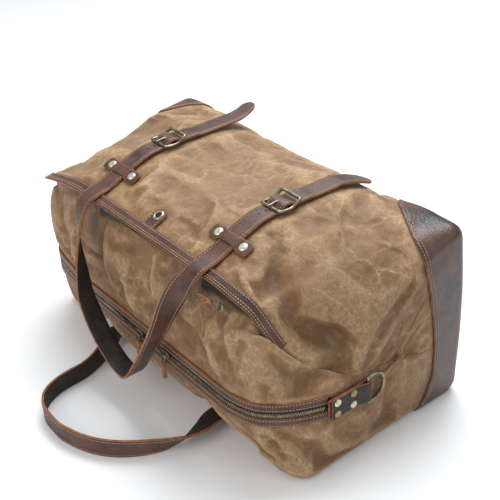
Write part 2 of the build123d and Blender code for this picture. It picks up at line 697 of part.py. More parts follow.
def riveted(places, seat, shank, radius, rise):
    """Domed rivets, one at each plane, as separate solids of one node."""
    with BuildPart() as rivets:
        for place in places:
            across = Plane(origin=place.origin, x_dir=place.x_dir, z_dir=-place.y_dir)
            with BuildSketch(across):
                with BuildLine():
                    Polyline(*rivet(seat, shank, radius, rise), close=True)
                make_face()
            revolve(axis=Axis(place.origin, place.z_dir))
    return rivets


for sign, side in ((-1, "left"), (1, "right")):
    centre = sign * STRAP_X
    flat = LEATHER / 2 + GAP
    arch = STRAP_THICK + 2 * GAP + LEATHER / 2
    keeper_line = [
        (-KEEPER_LONG / 2, flat), (-STRAP_WIDE / 2 - 2.6, flat), (-STRAP_WIDE / 2 - 1.4, arch),
        (STRAP_WIDE / 2 + 1.4, arch), (STRAP_WIDE / 2 + 2.6, flat), (KEEPER_LONG / 2, flat),
    ]
    keeper_plane = KEEPER_FRAME.offset(-KEEPER_END / 2)
    with BuildPart() as keeper:
        with BuildSketch(keeper_plane.shift_origin(keeper_plane.origin + Vector(centre, 0, 0))):
            with BuildLine():
                Polyline(*ribbon(keeper_line, -LEATHER / 2, LEATHER / 2), close=True)
            make_face()
        extrude(amount=KEEPER_END)
        face = Plane(
            origin=KEEPER_FRAME.origin + Vector(centre, 0, 0), x_dir=(1, 0, 0), z_dir=KEEPER_FRAME.y_dir
        )
        with BuildSketch(face):
            with GridLocations(0, KEEPER_WAIST + 10, 1, 2):
                RectangleRounded(KEEPER_WAIST_LONG + 8, 10, 4)
        extrude(amount=10, mode=Mode.SUBTRACT)
    save(keeper, f"keeper_{side}")

    places = []
    for mark in (-1, 1):
        spot = KEEPER_FRAME.origin + Vector(centre + mark * RIVET_SPACING / 2, 0, 0)
        places.append(Plane(origin=spot, x_dir=(1, 0, 0), z_dir=KEEPER_FRAME.y_dir))
    shank = LEATHER + 3 * GAP + POCKET_CANVAS + CANVAS
    save(riveted(places, GAP + LEATHER, shank, RIVET_RADIUS, RIVET_RISE), f"keeper_rivets_{side}")

# ---- Eyelet tab on the pocket panel ----

eyelet_step = slope_length - (TRIM_WIDE - TRIM_OVERHANG) - EYELET_TO_TRIM
eyelet_face = Plane(
    origin=(0, *on_slope(eyelet_step, 0)), x_dir=(1, 0, 0), z_dir=KEEPER_FRAME.y_dir
)
with BuildPart() as eyelet_tab:
    with BuildSketch(eyelet_face.offset(GAP)):
        with Locations((0, 0)):
            Circle(TAB_WIDE / 2)
        with Locations((0, -TAB_STRAIGHT / 2)):
            Rectangle(TAB_WIDE, TAB_STRAIGHT)
        Circle(EYELET_BARREL + GAP / 2, mode=Mode.SUBTRACT)
    extrude(amount=LEATHER)
save(eyelet_tab, "eyelet_tab")

with BuildPart() as eyelet:
    with BuildSketch(eyelet_face.offset(GAP)):
        Circle(EYELET_BARREL)
        Circle(EYELET_BORE, mode=Mode.SUBTRACT)
    extrude(amount=LEATHER + GAP)
    with BuildSketch(eyelet_face.offset(2 * GAP + LEATHER)):
        Circle(EYELET_FLANGE)
        Circle(EYELET_BORE, mode=Mode.SUBTRACT)
    extrude(amount=1.0)
save(eyelet, "eyelet")

# ---- End tabs with D-rings, over the ends of the zip ----

ring_bar_rise = LEATHER + D_WIRE + 3 * GAP + LEATHER + GAP
tab_under = LEATHER + 3 * GAP + LEATHER / 2
tab_over = tab_under + LEATHER + SEAT_GAP
tab_rivet_seat = tab_over + LEATHER / 2 + GAP
tab_rivet_shank = tab_rivet_seat + CANVAS + GAP + SEAT_GAP
for sign, side in ((-1, "left"), (1, "right")):
    face_x = sign * END_X
    loop = D_WIRE + GAP + LEATHER / 2
    tab_low = ring_bar_rise - loop
    tab_high = ring_bar_rise + loop
    route = [(END_TAB_START, tab_under), (RING_BAR_Y - TAB_FOLD, tab_under), (RING_BAR_Y, tab_low)]
    for step in range(1, 8):
        turn = math.radians(-90 + step * 22.5)
        route.append((RING_BAR_Y + loop * math.cos(turn), ring_bar_rise + loop * math.sin(turn)))
    route += [(RING_BAR_Y, tab_high), (RING_BAR_Y - TAB_FOLD, tab_over), (END_TAB_START, tab_over)]
    plan = [(face_x + sign * rise, y) for y, rise in ribbon(route, -LEATHER / 2, LEATHER / 2)]
    save(prism(Plane.XY.offset(ZIP_MID_Z - END_TAB_TALL / 2), plan, END_TAB_TALL), f"end_tab_{side}")

    bar_half = D_INNER / 2 + D_WIRE
    bar_x = face_x + sign * ring_bar_rise
    with BuildPart() as d_ring:
        with BuildLine() as d_path:
            Polyline(
                (bar_x, RING_BAR_Y, ZIP_MID_Z - bar_half), (bar_x, RING_BAR_Y, ZIP_MID_Z + bar_half),
                (bar_x, RING_BAR_Y + D_REACH - bar_half, ZIP_MID_Z + bar_half),
            )
            ThreePointArc(
                (bar_x, RING_BAR_Y + D_REACH - bar_half, ZIP_MID_Z + bar_half),
                (bar_x, RING_BAR_Y + D_REACH, ZIP_MID_Z),
                (bar_x, RING_BAR_Y + D_REACH - bar_half, ZIP_MID_Z - bar_half),
            )
            Line(
                (bar_x, RING_BAR_Y + D_REACH - bar_half, ZIP_MID_Z - bar_half),
                (bar_x, RING_BAR_Y, ZIP_MID_Z - bar_half),
            )
        with BuildSketch(Plane(origin=(bar_x, RING_BAR_Y, ZIP_MID_Z), z_dir=(0, 0, 1))):
            Circle(D_WIRE)
        sweep(path=d_path.line, transition=Transition.RIGHT)
    save(d_ring, f"d_ring_{side}")

    places = []
    for y in END_RIVET_Y:
        for mark in (-1, 1):
            places.append(Plane(
                origin=(face_x, y, ZIP_MID_Z + mark * END_RIVET_RISE), x_dir=(0, 1, 0), z_dir=(sign, 0, 0)
            ))
    rivets = riveted(places, tab_rivet_seat, tab_rivet_shank, END_RIVET_RADIUS, END_RIVET_DOME)
    save(rivets, f"end_tab_rivets_{side}")

# ---- Carrying handles: flat straps, given by centre points and the direction of their width ----


def turned(degrees, upright=False):
    """Unit width direction of a strap that twists from lying flat along X, by the angle given."""
    turn = math.radians(degrees)
    if upright:
        return (-math.cos(turn), 0, math.sin(turn))
    return (math.cos(turn), -math.sin(turn), 0)


front_y, front_z = HINGE_FRONT
front_route = [
    ((-STRAP_X, front_y - HINGE_GAP, front_z - HINGE_GAP / 2), 0),
    ((-105.6, -158, 215), 6), ((-101, -168, 198), 18), ((-95, -176, 170), 36),
    ((-86, -182, 138), 58), ((-72, -187, 105), 76), ((-50, -187, 73), 88),
    ((-24, -187, 52), 90), ((-4, -187, 45), 90), ((8, -187, 44), 90), ((19, -187, 51), 90),
    ((38, -186, 78), 90), ((60, -183, 115), 95), ((79, -179, 152), 106), ((93, -174, 184), 126),
    ((102, -167, 204), 150), ((105.6, -158, 215), 172),
    ((STRAP_X, front_y - HINGE_GAP, front_z - HINGE_GAP / 2), 180),
]
front_handle = strap_run([(centre, turned(angle)) for centre, angle in front_route])
save(front_handle, "front_handle")

back_y, back_z = HINGE_BACK
back_route = [
    ((-STRAP_X, back_y - HINGE_GAP, back_z), 0), ((-105.6, -141, 13.5), 8), ((-99, -153, 13.2), 35),
    ((-88, -166, 12.8), 65), ((-76, -186, 12.6), 85), ((-68, -210, 12.5), 90), ((-66, -236, 12.5), 90),
    ((-60, -258, 12.5), 90), ((-46, -276, 12.5), 90), ((-24, -285, 12.5), 90), ((2, -286, 12.5), 90),
    ((30, -280, 12.5), 90), ((56, -268, 12.5), 90), ((78, -250, 12.5), 92), ((96, -226, 12.6), 100),
    ((109, -200, 12.8), 118), ((114, -176, 13.2), 142), ((111, -156, 13.5), 162),
    ((106.4, -141, 13.8), 174), ((STRAP_X, back_y - HINGE_GAP, back_z), 180),
]
back_handle = strap_run([(centre, turned(angle, upright=True)) for centre, angle in back_route])
save(back_handle, "back_handle")

# The fixed ends of the back handle are sewn to the undercut of the bag
under_top, under_foot = MIDDLE[UNDERCUT], MIDDLE[FLOOR_HIGH]
under_base = along(under_foot, under_top, BACK_END_LOW)
under_rise = along(under_foot, under_top, BACK_END_HIGH)
under_middle = GAP + STRAP_THICK / 2
under_line = shifted([under_base, under_rise], under_middle) + [(back_y + HINGE_GAP, back_z)]
for sign, side in ((-1, "left"), (1, "right")):
    back_end_plane = Plane.YZ.offset(sign * STRAP_X - STRAP_WIDE / 2)
    back_end = prism(back_end_plane, ribbon(under_line, -STRAP_THICK / 2, STRAP_THICK / 2), STRAP_WIDE)
    save(back_end, f"back_handle_end_{side}")
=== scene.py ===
import math

import bmesh
import bpy
import numpy as np
from mathutils import Matrix, Vector, noise
from mathutils.bvhtree import BVHTree


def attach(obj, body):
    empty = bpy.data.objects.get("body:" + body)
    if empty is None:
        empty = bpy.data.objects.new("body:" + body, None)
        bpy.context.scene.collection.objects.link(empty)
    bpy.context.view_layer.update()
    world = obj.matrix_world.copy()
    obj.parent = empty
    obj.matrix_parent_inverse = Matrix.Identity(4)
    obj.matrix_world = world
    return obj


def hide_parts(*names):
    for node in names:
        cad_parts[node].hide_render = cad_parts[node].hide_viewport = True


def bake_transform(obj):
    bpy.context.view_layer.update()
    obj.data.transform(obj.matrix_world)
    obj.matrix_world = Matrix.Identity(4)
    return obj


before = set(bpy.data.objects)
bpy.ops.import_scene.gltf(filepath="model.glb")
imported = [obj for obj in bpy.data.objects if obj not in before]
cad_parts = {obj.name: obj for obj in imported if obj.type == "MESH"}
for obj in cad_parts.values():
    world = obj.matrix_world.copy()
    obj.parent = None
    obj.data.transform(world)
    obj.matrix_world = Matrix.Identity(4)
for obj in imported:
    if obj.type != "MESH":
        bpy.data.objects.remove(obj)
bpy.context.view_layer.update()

# Outlines and routes below are in millimetres, as the bag is drawn, and MM turns them into metres.
MM = 0.001
SEED = 7

# ---------------------------------------------------------------- camera, light and floor

CAMERA_PLACE = Vector((0.810, -0.619, 0.781))
CAMERA_AZIMUTH = math.radians(52.3)
CAMERA_ELEVATION = math.radians(32.5)
CAMERA_ROLL = math.radians(-2.5)
CAMERA_LENS = 70.3
# The floor lies this far under the bag, so that the two never share a plane
FLOOR_GAP = 0.6 * MM


def make_camera():
    back = Vector((
        math.sin(CAMERA_AZIMUTH) * math.cos(CAMERA_ELEVATION),
        -math.cos(CAMERA_AZIMUTH) * math.cos(CAMERA_ELEVATION),
        math.sin(CAMERA_ELEVATION),
    ))
    right = Vector((math.cos(CAMERA_AZIMUTH), math.sin(CAMERA_AZIMUTH), 0))
    up = right.cross(-back)
    rolled_right = right * math.cos(CAMERA_ROLL) + up * math.sin(CAMERA_ROLL)
    rolled_up = up * math.cos(CAMERA_ROLL) - right * math.sin(CAMERA_ROLL)
    data = bpy.data.cameras.new("photo_camera")
    data.lens = CAMERA_LENS
    data.sensor_width = 36
    data.clip_start = 0.01
    data.clip_end = 50
    camera = bpy.data.objects.new("photo_camera", data)
    turn = Matrix((rolled_right, rolled_up, back)).transposed().to_4x4()
    camera.matrix_world = Matrix.Translation(CAMERA_PLACE) @ turn
    bpy.context.scene.collection.objects.link(camera)
    bpy.context.scene.camera = camera


def make_light(name, place, target, size, power, color):
    data = bpy.data.lights.new(name, "AREA")
    data.shape = "DISK"
    data.size = size
    data.energy = power
    data.color = color
    light = bpy.data.objects.new(name, data)
    light.location = place
    light.rotation_euler = (Vector(target) - Vector(place)).to_track_quat("-Z", "Y").to_euler()
    bpy.context.scene.collection.objects.link(light)


def make_studio():
    world = bpy.data.worlds.new("studio")
    world.use_nodes = True
    background = world.node_tree.nodes["Background"].inputs
    background["Color"].default_value = (0.93, 0.965, 1.0, 1)
    background["Strength"].default_value = 0.58
    bpy.context.scene.world = world
    bpy.context.scene.view_settings.view_transform = "Standard"
    make_light("top_light", (-0.35, 0.55, 1.5), (0, -0.02, 0.1), 1.3, 30, (0.94, 0.98, 1.0))
    make_light("side_light", (1.4, 0.6, 0.9), (0.1, 0, 0.12), 0.7, 2, (0.92, 0.96, 1.0))
    make_light("front_light", (0.1, -1.6, 1.0), (0, 0, 0.1), 1.2, 9, (1.0, 0.95, 0.88))
    corners = [(-6, -6, 0), (6, -6, 0), (6, 6, 0), (-6, 6, 0)]
    floor = mesh_piece("floor", corners, [(0, 1, 2, 3)], [floor_material()])
    floor.location.z = -FLOOR_GAP


# ---------------------------------------------------------------- mesh helpers


def mesh_piece(name, vertices, faces, materials, smooth=True, indices=None):
    data = bpy.data.meshes.new(name)
    data.from_pydata([tuple(v) for v in vertices], [], [tuple(f) for f in faces])
    for material in materials:
        data.materials.append(material)
    if indices is not None:
        data.polygons.foreach_set("material_index", indices)
    data.polygons.foreach_set("use_smooth", [smooth] * len(data.polygons))
    data.update()
    piece = bpy.data.objects.new(name, data)
    bpy.context.scene.collection.objects.link(piece)
    return piece


def smooth_through(stations, values, at):
    """Cubic curve through values at stations, with no overshoot. values is stations x anything."""
    stations = np.asarray(stations, float)
    values = np.asarray(values, float).reshape(len(stations), -1)
    step = np.diff(stations)[:, None]
    slope = np.diff(values, axis=0) / step
    tangent = np.zeros_like(values)
    same = slope[1:] * slope[:-1] > 0
    weight = 2 * slope[1:] * slope[:-1] / np.where(same, slope[1:] + slope[:-1], 1)
    tangent[1:-1] = np.where(same, weight, 0)
    tangent[0], tangent[-1] = slope[0], slope[-1]
    at = np.clip(np.asarray(at, float), stations[0], stations[-1])
    left = np.clip(np.searchsorted(stations, at, side="right") - 1, 0, len(stations) - 2)
    width = step[left]
    t = ((at - stations[left])[:, None]) / width
    return (
        (2 * t**3 - 3 * t**2 + 1) * values[left] + (t**3 - 2 * t**2 + t) * width * tangent[left]
        + (3 * t**2 - 2 * t**3) * values[left + 1] + (t**3 - t**2) * width * tangent[left + 1]
    )


def soft_step(low, high, value):
    t = np.clip((np.asarray(value, float) - low) / (high - low), 0, 1)
    return t * t * (3 - 2 * t)


# ---------------------------------------------------------------- materials


class Nodes:
    """A short way to build a node material."""

    def __init__(self, name):
        self.material = bpy.data.materials.new(name)
        self.material.use_nodes = True
        self.tree = self.material.node_tree
        self.shader = self.tree.nodes["Principled BSDF"]
        self.coordinates = self.tree.nodes.new("ShaderNodeTexCoord")

    def add(self, kind, **inputs):
        node = self.tree.nodes.new("ShaderNode" + kind)
        for key, value in inputs.items():
            name = key.replace("_", " ")
            if name in node.inputs:
                self.link(value, node.inputs[name])
            else:
                setattr(node, key, value)
        return node

    def link(self, value, socket):
        if isinstance(value, bpy.types.NodeSocket):
            self.tree.links.new(value, socket)
        else:
            socket.default_value = value

    def place(self, scale=(1, 1, 1)):
        return self.add("Mapping", Vector=self.coordinates.outputs["Object"], Scale=scale).outputs["Vector"]

    def noise(self, vector, scale, detail=3.0, rough=0.55):
        node = self.add("TexNoise", Vector=vector, Scale=scale, Detail=detail, Roughness=rough)
        return node.outputs["Fac"]

    def cells(self, vector, scale, feature="F1"):
        return self.add("TexVoronoi", feature=feature, Vector=vector, Scale=scale).outputs["Distance"]

    def ramp(self, value, low, high, start=0.0, end=1.0):
        node = self.add("MapRange", interpolation_type="SMOOTHSTEP", Value=value)
        for key, number in (("From Min", low), ("From Max", high), ("To Min", start), ("To Max", end)):
            node.inputs[key].default_value = number
        return node.outputs["Result"]

    def mix(self, share, a, b):
        node = self.add("Mix", data_type="RGBA")
        self.link(share, node.inputs[0])
        for socket, value in ((node.inputs[6], a), (node.inputs[7], b)):
            self.link((*value, 1) if isinstance(value, tuple) else value, socket)
        return node.outputs[2]

    def math(self, kind, a, b):
        node = self.add("Math", operation=kind)
        self.link(a, node.inputs[0])
        self.link(b, node.inputs[1])
        return node.outputs[0]

    def plus(self, a, b):
        return self.math("ADD", a, b)

    def times(self, a, b):
        return self.math("MULTIPLY", a, b)

    def blend(self, a, share_a, b, share_b):
        """A weighted sum of two values."""
        return self.plus(self.times(a, share_a), self.times(b, share_b))

    def shift(self, vector, wander, amount):
        """The vector moved by another vector, times an amount."""
        scaled = self.add("VectorMath", operation="SCALE", Scale=amount)
        self.link(wander, scaled.inputs[0])
        added = self.add("VectorMath", operation="ADD")
        self.link(vector, added.inputs[0])
        self.link(scaled.outputs[0], added.inputs[1])
        return added.outputs[0]

    def warped(self, vector, scale, amount):
        """The vector moved about by noise, so that lines drawn on it wander."""
        wander = self.add("TexNoise", Vector=vector, Scale=scale, Detail=2.0).outputs["Color"]
        return self.shift(vector, wander, amount)

    def bump(self, height, strength, distance, under=None):
        node = self.add("Bump", Strength=strength, Distance=distance, Height=height)
        if under is not None:
            self.link(under, node.inputs["Normal"])
        return node.outputs["Normal"]

    def finish(self, color, roughness, normal=None, metallic=0.0, **fixed):
        self.link((*color, 1) if isinstance(color, tuple) else color, self.shader.inputs["Base Color"])
        self.link(roughness, self.shader.inputs["Roughness"])
        self.shader.inputs["Metallic"].default_value = metallic
        if normal is not None:
            self.link(normal, self.shader.inputs["Normal"])
        for key, value in fixed.items():
            self.shader.inputs[key.replace("_", " ")].default_value = value
        return self.material


def floor_material():
    n = Nodes("studio_floor")
    grain = n.noise(n.place(), 3.0)
    return n.finish(n.mix(grain, (0.935, 0.94, 0.95), (0.955, 0.96, 0.965)), 0.6)


# The darkest canvas colour is used only as painted shade: in the folds and in the gap under the pocket's edge
CANVAS_SHADE = (0.045, 0.019, 0.006)
CANVAS_RICH = (0.160, 0.071, 0.024)
CANVAS_DRY = (0.262, 0.134, 0.053)
CANVAS_LIGHT = (0.54, 0.375, 0.215)


def veins(n, place, scale, wander, width, seed):
    """Pale crack lines between cells, broken up so that only some of them show. The result runs from 0 to 1."""
    path = n.cells(n.warped(place, scale * 1.6, wander), scale, "DISTANCE_TO_EDGE")
    sharp = n.ramp(path, 0.0, width * scale, 1.0, 0.0)
    halo = n.ramp(path, 0.0, width * scale * 3.5, 1.0, 0.0)
    where = n.ramp(n.noise(n.shift(place, (seed, seed * 2.0, 1.0), 1.0), scale * 0.5, 3.0, 0.6), 0.42, 0.62)
    thin = n.ramp(n.noise(place, scale * 7.0, 3.0, 0.7), 0.30, 0.62)
    line = n.blend(n.times(sharp, thin), 0.6, halo, 0.4)
    return n.times(line, where)


def canvas_material():
    """Waxed canvas: brown, with painted shade in its folds and in the gap under the pocket's edge, paler ridges
    of rubbed wax and painted highlight, a painted highlight on faces that point up, pale cracked creases and a
    fine weave.
    """
    n = Nodes("waxed_canvas")
    place = n.place()
    cloud = n.noise(place, 8.0, 5.0, 0.62)
    fine_cloud = n.noise(place, 60.0, 6.0, 0.75)
    tone = n.ramp(n.blend(cloud, 0.6, fine_cloud, 0.4), 0.36, 0.64)
    base = n.mix(tone, CANVAS_RICH, CANVAS_DRY)
    # Painted highlight: faces that point up are mixed towards the pale canvas colour, as if lit from above
    normal = n.add("NewGeometry").outputs["Normal"]
    upward = n.add("SeparateXYZ", Vector=normal).outputs["Z"]
    painted_top_highlight = n.times(n.ramp(upward, 0.35, 0.98, 0.0, 0.14), n.ramp(fine_cloud, 0.3, 0.7, 0.5, 1.0))
    base = n.mix(painted_top_highlight, base, CANVAS_LIGHT)
    large = veins(n, place, 16.0, 0.042, 0.0018, 1.0)
    medium = veins(n, place, 36.0, 0.022, 0.0012, 3.0)
    small = veins(n, place, 82.0, 0.010, 0.0009, 5.0)
    cracks = n.plus(n.plus(large, n.times(medium, 0.8)), n.times(small, 0.5))
    crest = n.add("Attribute", attribute_name="crest").outputs["Fac"]
    # Pale ridges: raised canvas is paler, partly rubbed wax and partly painted highlight
    ridge_wear_and_highlight = n.ramp(crest, 0.54, 0.92)
    # Painted shade: canvas that lies sunk in its folds is mixed darker
    painted_fold_shade = n.ramp(crest, 0.46, 0.06)
    breakup = n.ramp(n.noise(place, 210.0, 4.0, 0.7), 0.25, 0.75, 0.25, 1.0)
    pale = n.times(n.blend(cracks, 0.85, ridge_wear_and_highlight, 0.6), breakup)
    pale_color = n.mix(n.math("MINIMUM", pale, 0.9), base, CANVAS_LIGHT)
    fold_shaded_color = n.mix(n.times(painted_fold_shade, 0.32), pale_color, CANVAS_SHADE)
    weave = n.times(*(
        n.add(
            "TexWave", bands_direction=way, Vector=place, Scale=190.0, Distortion=1.2, Detail=1.0
        ).outputs["Fac"]
        for way in ("X", "DIAGONAL")
    ))
    speck = n.noise(place, 900.0, 2.0, 0.6)
    color = n.mix(n.ramp(speck, 0.35, 0.75, 0.0, 0.34), fold_shaded_color, tuple(c * 0.4 for c in CANVAS_RICH))
    # Painted shadow: the canvas in the gap under the pocket's edge is mixed almost black
    gap = n.add("Attribute", attribute_name="gap").outputs["Fac"]
    color = n.mix(n.times(gap, 0.93), color, tuple(c * 0.25 for c in CANVAS_SHADE))
    rough = n.ramp(n.plus(pale, n.times(cloud, 0.4)), 0.0, 1.0, 0.52, 0.80)
    normal = n.bump(n.plus(n.times(weave, 0.5), speck), 0.5, 0.0007)
    normal = n.bump(n.noise(place, 120.0, 4.0, 0.65), 0.4, 0.0018, normal)
    normal = n.bump(cracks, 0.5, 0.0012, normal)
    return n.finish(color, rough, normal, Specular_IOR_Level=0.35, Sheen_Weight=0.06, Sheen_Roughness=0.5)


# ---------------------------------------------------------------- the bag's shell

SHELL_ENDS = 245
END_ROUND = 9
ROW_STEP = 2.8
ZIP_Z = 89

# The bag's outline, as (y, z) of its corners at stations of x. The corners go from the floor under the bottom
# panel, over the front, down the zip's side and to the floor again.
SECTIONS = {
    -245: [(108, 0), (112, 120), (101, 229), (55, 221), (0, 213), (-62, 202), (-134, 184),
           (-119, 174), (-120, 142), (-94, 104), (-92, 74), (-106, 36), (-120, 0)],
    -228: [(109, 0), (113, 115), (101, 231), (56, 231), (0, 224), (-70, 212), (-141, 193),
           (-127, 184), (-137, 150), (-127, 104), (-127, 74), (-130, 36), (-128, 0)],
    -200: [(109, 0), (114, 110), (101, 232), (55, 238), (-5, 233), (-75, 220), (-145, 203),
           (-134, 196), (-148, 150), (-152, 104), (-152, 74), (-143, 34), (-128, 0)],
    -125: [(109, 0), (115, 100), (101, 230), (50, 249), (-55, 249), (-84, 241), (-145, 216),
           (-137, 208), (-152, 165), (-161, 104), (-161, 74), (-143, 34), (-112, 0)],
    -20: [(109, 0), (115, 100), (101, 227), (50, 247), (-55, 248), (-84, 241), (-145, 216),
          (-140, 208), (-154, 165), (-161, 104), (-161, 74), (-143, 34), (-112, 0)],
    125: [(109, 0), (115, 100), (101, 229), (50, 249), (-55, 249), (-84, 241), (-145, 216),
          (-134, 206), (-153, 165), (-161, 104), (-161, 74), (-143, 34), (-112, 0)],
    165: [(112, 0), (118, 105), (104, 231), (50, 246), (-45, 245), (-84, 237), (-145, 213),
          (-136, 200), (-155, 172), (-161, 104), (-161, 74), (-143, 34), (-114, 0)],
    189: [(115, 0), (121, 108), (107, 233), (54, 241), (-20, 235), (-78, 223), (-140, 204),
          (-134, 193), (-152, 184), (-156, 104), (-156, 74), (-144, 34), (-126, 0)],
    199: [(117, 0), (122, 109), (108, 233), (55, 239), (-14, 231), (-68, 220), (-129, 172),
          (-123, 164), (-147, 186), (-153, 104), (-153, 74), (-144, 34), (-129, 0)],
    216: [(118, 0), (123, 112), (109, 232), (57, 232), (0, 223), (-50, 210), (-96, 143),
          (-101, 137), (-116, 157), (-138, 104), (-138, 74), (-138, 35), (-132, 0)],
    228: [(119, 0), (124, 115), (109, 232), (58, 229), (4, 214), (-44, 198), (-66, 128),
          (-72, 123), (-85, 133), (-122, 104), (-122, 74), (-131, 36), (-130, 0)],
    245: [(119, 0), (123, 118), (109, 230), (60, 220), (12, 199), (-28, 172), (-46, 126),
          (-50, 120), (-58, 119), (-85, 104), (-85, 74), (-106, 36), (-123, 0)],
}
# How far from each corner its rounding starts, and the corners that other pieces follow
CORNER_REACH = (16, 60, 12, 34, 30, 22, 3, 4, 9, 4, 4, 22, 16)
POCKET_EDGE, LIP_UNDER, ZIP_TOP, ZIP_FOOT = 6, 7, 9, 10
# (y, z) that the rings of each end panel close in on
END_MIDDLE = {-1: (2, 104), 1: (12, 104)}


def rounded_rows(corners):
    """Closed outlines with rounded corners, columns x rows x 2, and the row at each corner."""
    before = np.roll(corners, 1, axis=1) - corners
    after = np.roll(corners, -1, axis=1) - corners
    to_before = np.linalg.norm(before, axis=2, keepdims=True)
    to_after = np.linalg.norm(after, axis=2, keepdims=True)
    reach = np.minimum(np.array(CORNER_REACH, float)[None, :, None], 0.45 * np.minimum(to_before, to_after))
    start = corners + before / to_before * reach
    end = corners + after / to_after * reach
    middle = len(corners) // 2
    rows, corner_rows = [], []
    for index in range(corners.shape[1]):
        turn = max(4, int(reach[middle, index, 0] / ROW_STEP) + 2)
        corner_rows.append(len(rows) + turn // 2)
        for t in np.linspace(0, 1, turn):
            first = start[:, index] * (1 - t) ** 2 + corners[:, index] * 2 * t * (1 - t)
            rows.append(first + end[:, index] * t * t)
        following = start[:, (index + 1) % corners.shape[1]]
        gap = np.linalg.norm(following[middle] - end[middle, index])
        count = max(2, int(gap / ROW_STEP))
        for t in np.linspace(0, 1, count + 1)[1:-1]:
            rows.append(end[:, index] * (1 - t) + following * t)
    return np.stack(rows, axis=1), corner_rows


def shell_grid():
    """The undisturbed shell as columns x rows x 3, in metres, closed round its rows, with its corner rows."""
    straight = np.linspace(-SHELL_ENDS + END_ROUND, SHELL_ENDS - END_ROUND, 168)
    turn = np.linspace(0, math.pi / 2, 6)[1:]
    over = SHELL_ENDS - END_ROUND + END_ROUND * np.sin(turn)
    x = np.concatenate([-over[::-1], straight, over])
    drawn_in = END_ROUND * (1 - np.cos(turn))
    inset = np.concatenate([drawn_in[::-1], straight * 0, drawn_in])
    stations = sorted(SECTIONS)
    values = np.array([SECTIONS[s] for s in stations], float)
    corners = smooth_through(stations, values.reshape(len(stations), -1), x).reshape(len(x), -1, 2)
    outlines, corner_rows = rounded_rows(corners)
    columns = []
    for index, place in enumerate(x):
        middle = np.array(END_MIDDLE[1 if place > 0 else -1], float)
        arms = outlines[index] - middle
        far = np.linalg.norm(arms, axis=1, keepdims=True)
        flat = middle + arms * (1 - inset[index] / far)
        columns.append(np.column_stack([np.full(len(flat), place), flat]))
    rings = []
    for side, last in ((-1, columns[0]), (1, columns[-1])):
        middle = np.array((side * SHELL_ENDS, *END_MIDDLE[side]), float)
        faces = []
        for share in np.linspace(1, 0.02, 34)[1:]:
            ring = middle + (last - middle) * share
            ring[:, 0] = side * (SHELL_ENDS + 2.5 * (1 - share**2))
            faces.append(ring)
        rings.append(faces)
    grid = np.stack(rings[0][::-1] + columns + rings[1]) * MM
    return grid, corner_rows


def grid_normals(grid):
    along = np.gradient(grid, axis=0)
    around = (np.roll(grid, -1, axis=1) - np.roll(grid, 1, axis=1)) / 2
    normal = np.cross(around, along)
    return normal / np.maximum(np.linalg.norm(normal, axis=2, keepdims=True), 1e-9)


def grid_faces(columns, rows):
    faces = []
    for c in range(columns - 1):
        for r in range(rows):
            s = (r + 1) % rows
            faces.append((c * rows + r, c * rows + s, (c + 1) * rows + s, (c + 1) * rows + r))
    faces.append(tuple(range(rows))[::-1])
    faces.append(tuple((columns - 1) * rows + r for r in range(rows)))
    return faces


# Leather corner caps: on the front their seam is y over |x|, on the end it is y over z
CAP_PLAN = {
    -1: ([170, 184, 198, 210, 219, 230, 260], [150, 104, 94, 74, 48, 37, 36]),
    1: ([148, 158, 178, 207, 228, 240, 260], [150, 102, 78, 61, 51, 48, 46]),
}
CAP_END = ([0, 24, 58, 98, 131, 171, 201, 222, 260], [50, 66, 73, 71, 66, 57, 50, 44, 34])


def cap_depth(points, side):
    """How far, in metres, points lie inside the leather cap's seam. Negative is outside."""
    mm = points.reshape(-1, 3) / MM
    plan_x, plan_y = CAP_PLAN[side]
    from_plan = mm[:, 1] - smooth_through(plan_x, plan_y, mm[:, 0] * side)[:, 0]
    from_end = mm[:, 1] - smooth_through(*CAP_END, mm[:, 2])[:, 0]
    depth = np.minimum(from_plan, from_end)
    depth = np.where(mm[:, 0] * side < plan_x[0], -50, depth)
    return (depth * MM).reshape(points.shape[:-1])


def distance_to_line(points, line):
    """Distance from each point to a line of corners, and the share of its length at the nearest place."""
    line = np.array(line, float) * MM
    best = np.full(points.shape[:-1], 1e9)
    share = np.zeros(points.shape[:-1])
    lengths = np.linalg.norm(np.diff(line, axis=0), axis=1)
    total, run = lengths.sum(), 0.0
    for a, b, length in zip(line[:-1], line[1:], lengths):
        t = np.clip(((points - a) @ (b - a)) / length**2, 0, 1)
        gap = np.linalg.norm(points - (a + t[..., None] * (b - a)), axis=-1)
        nearer = gap < best
        best = np.where(nearer, gap, best)
        share = np.where(nearer, (run + t * length) / total, share)
        run += length
    return best, share


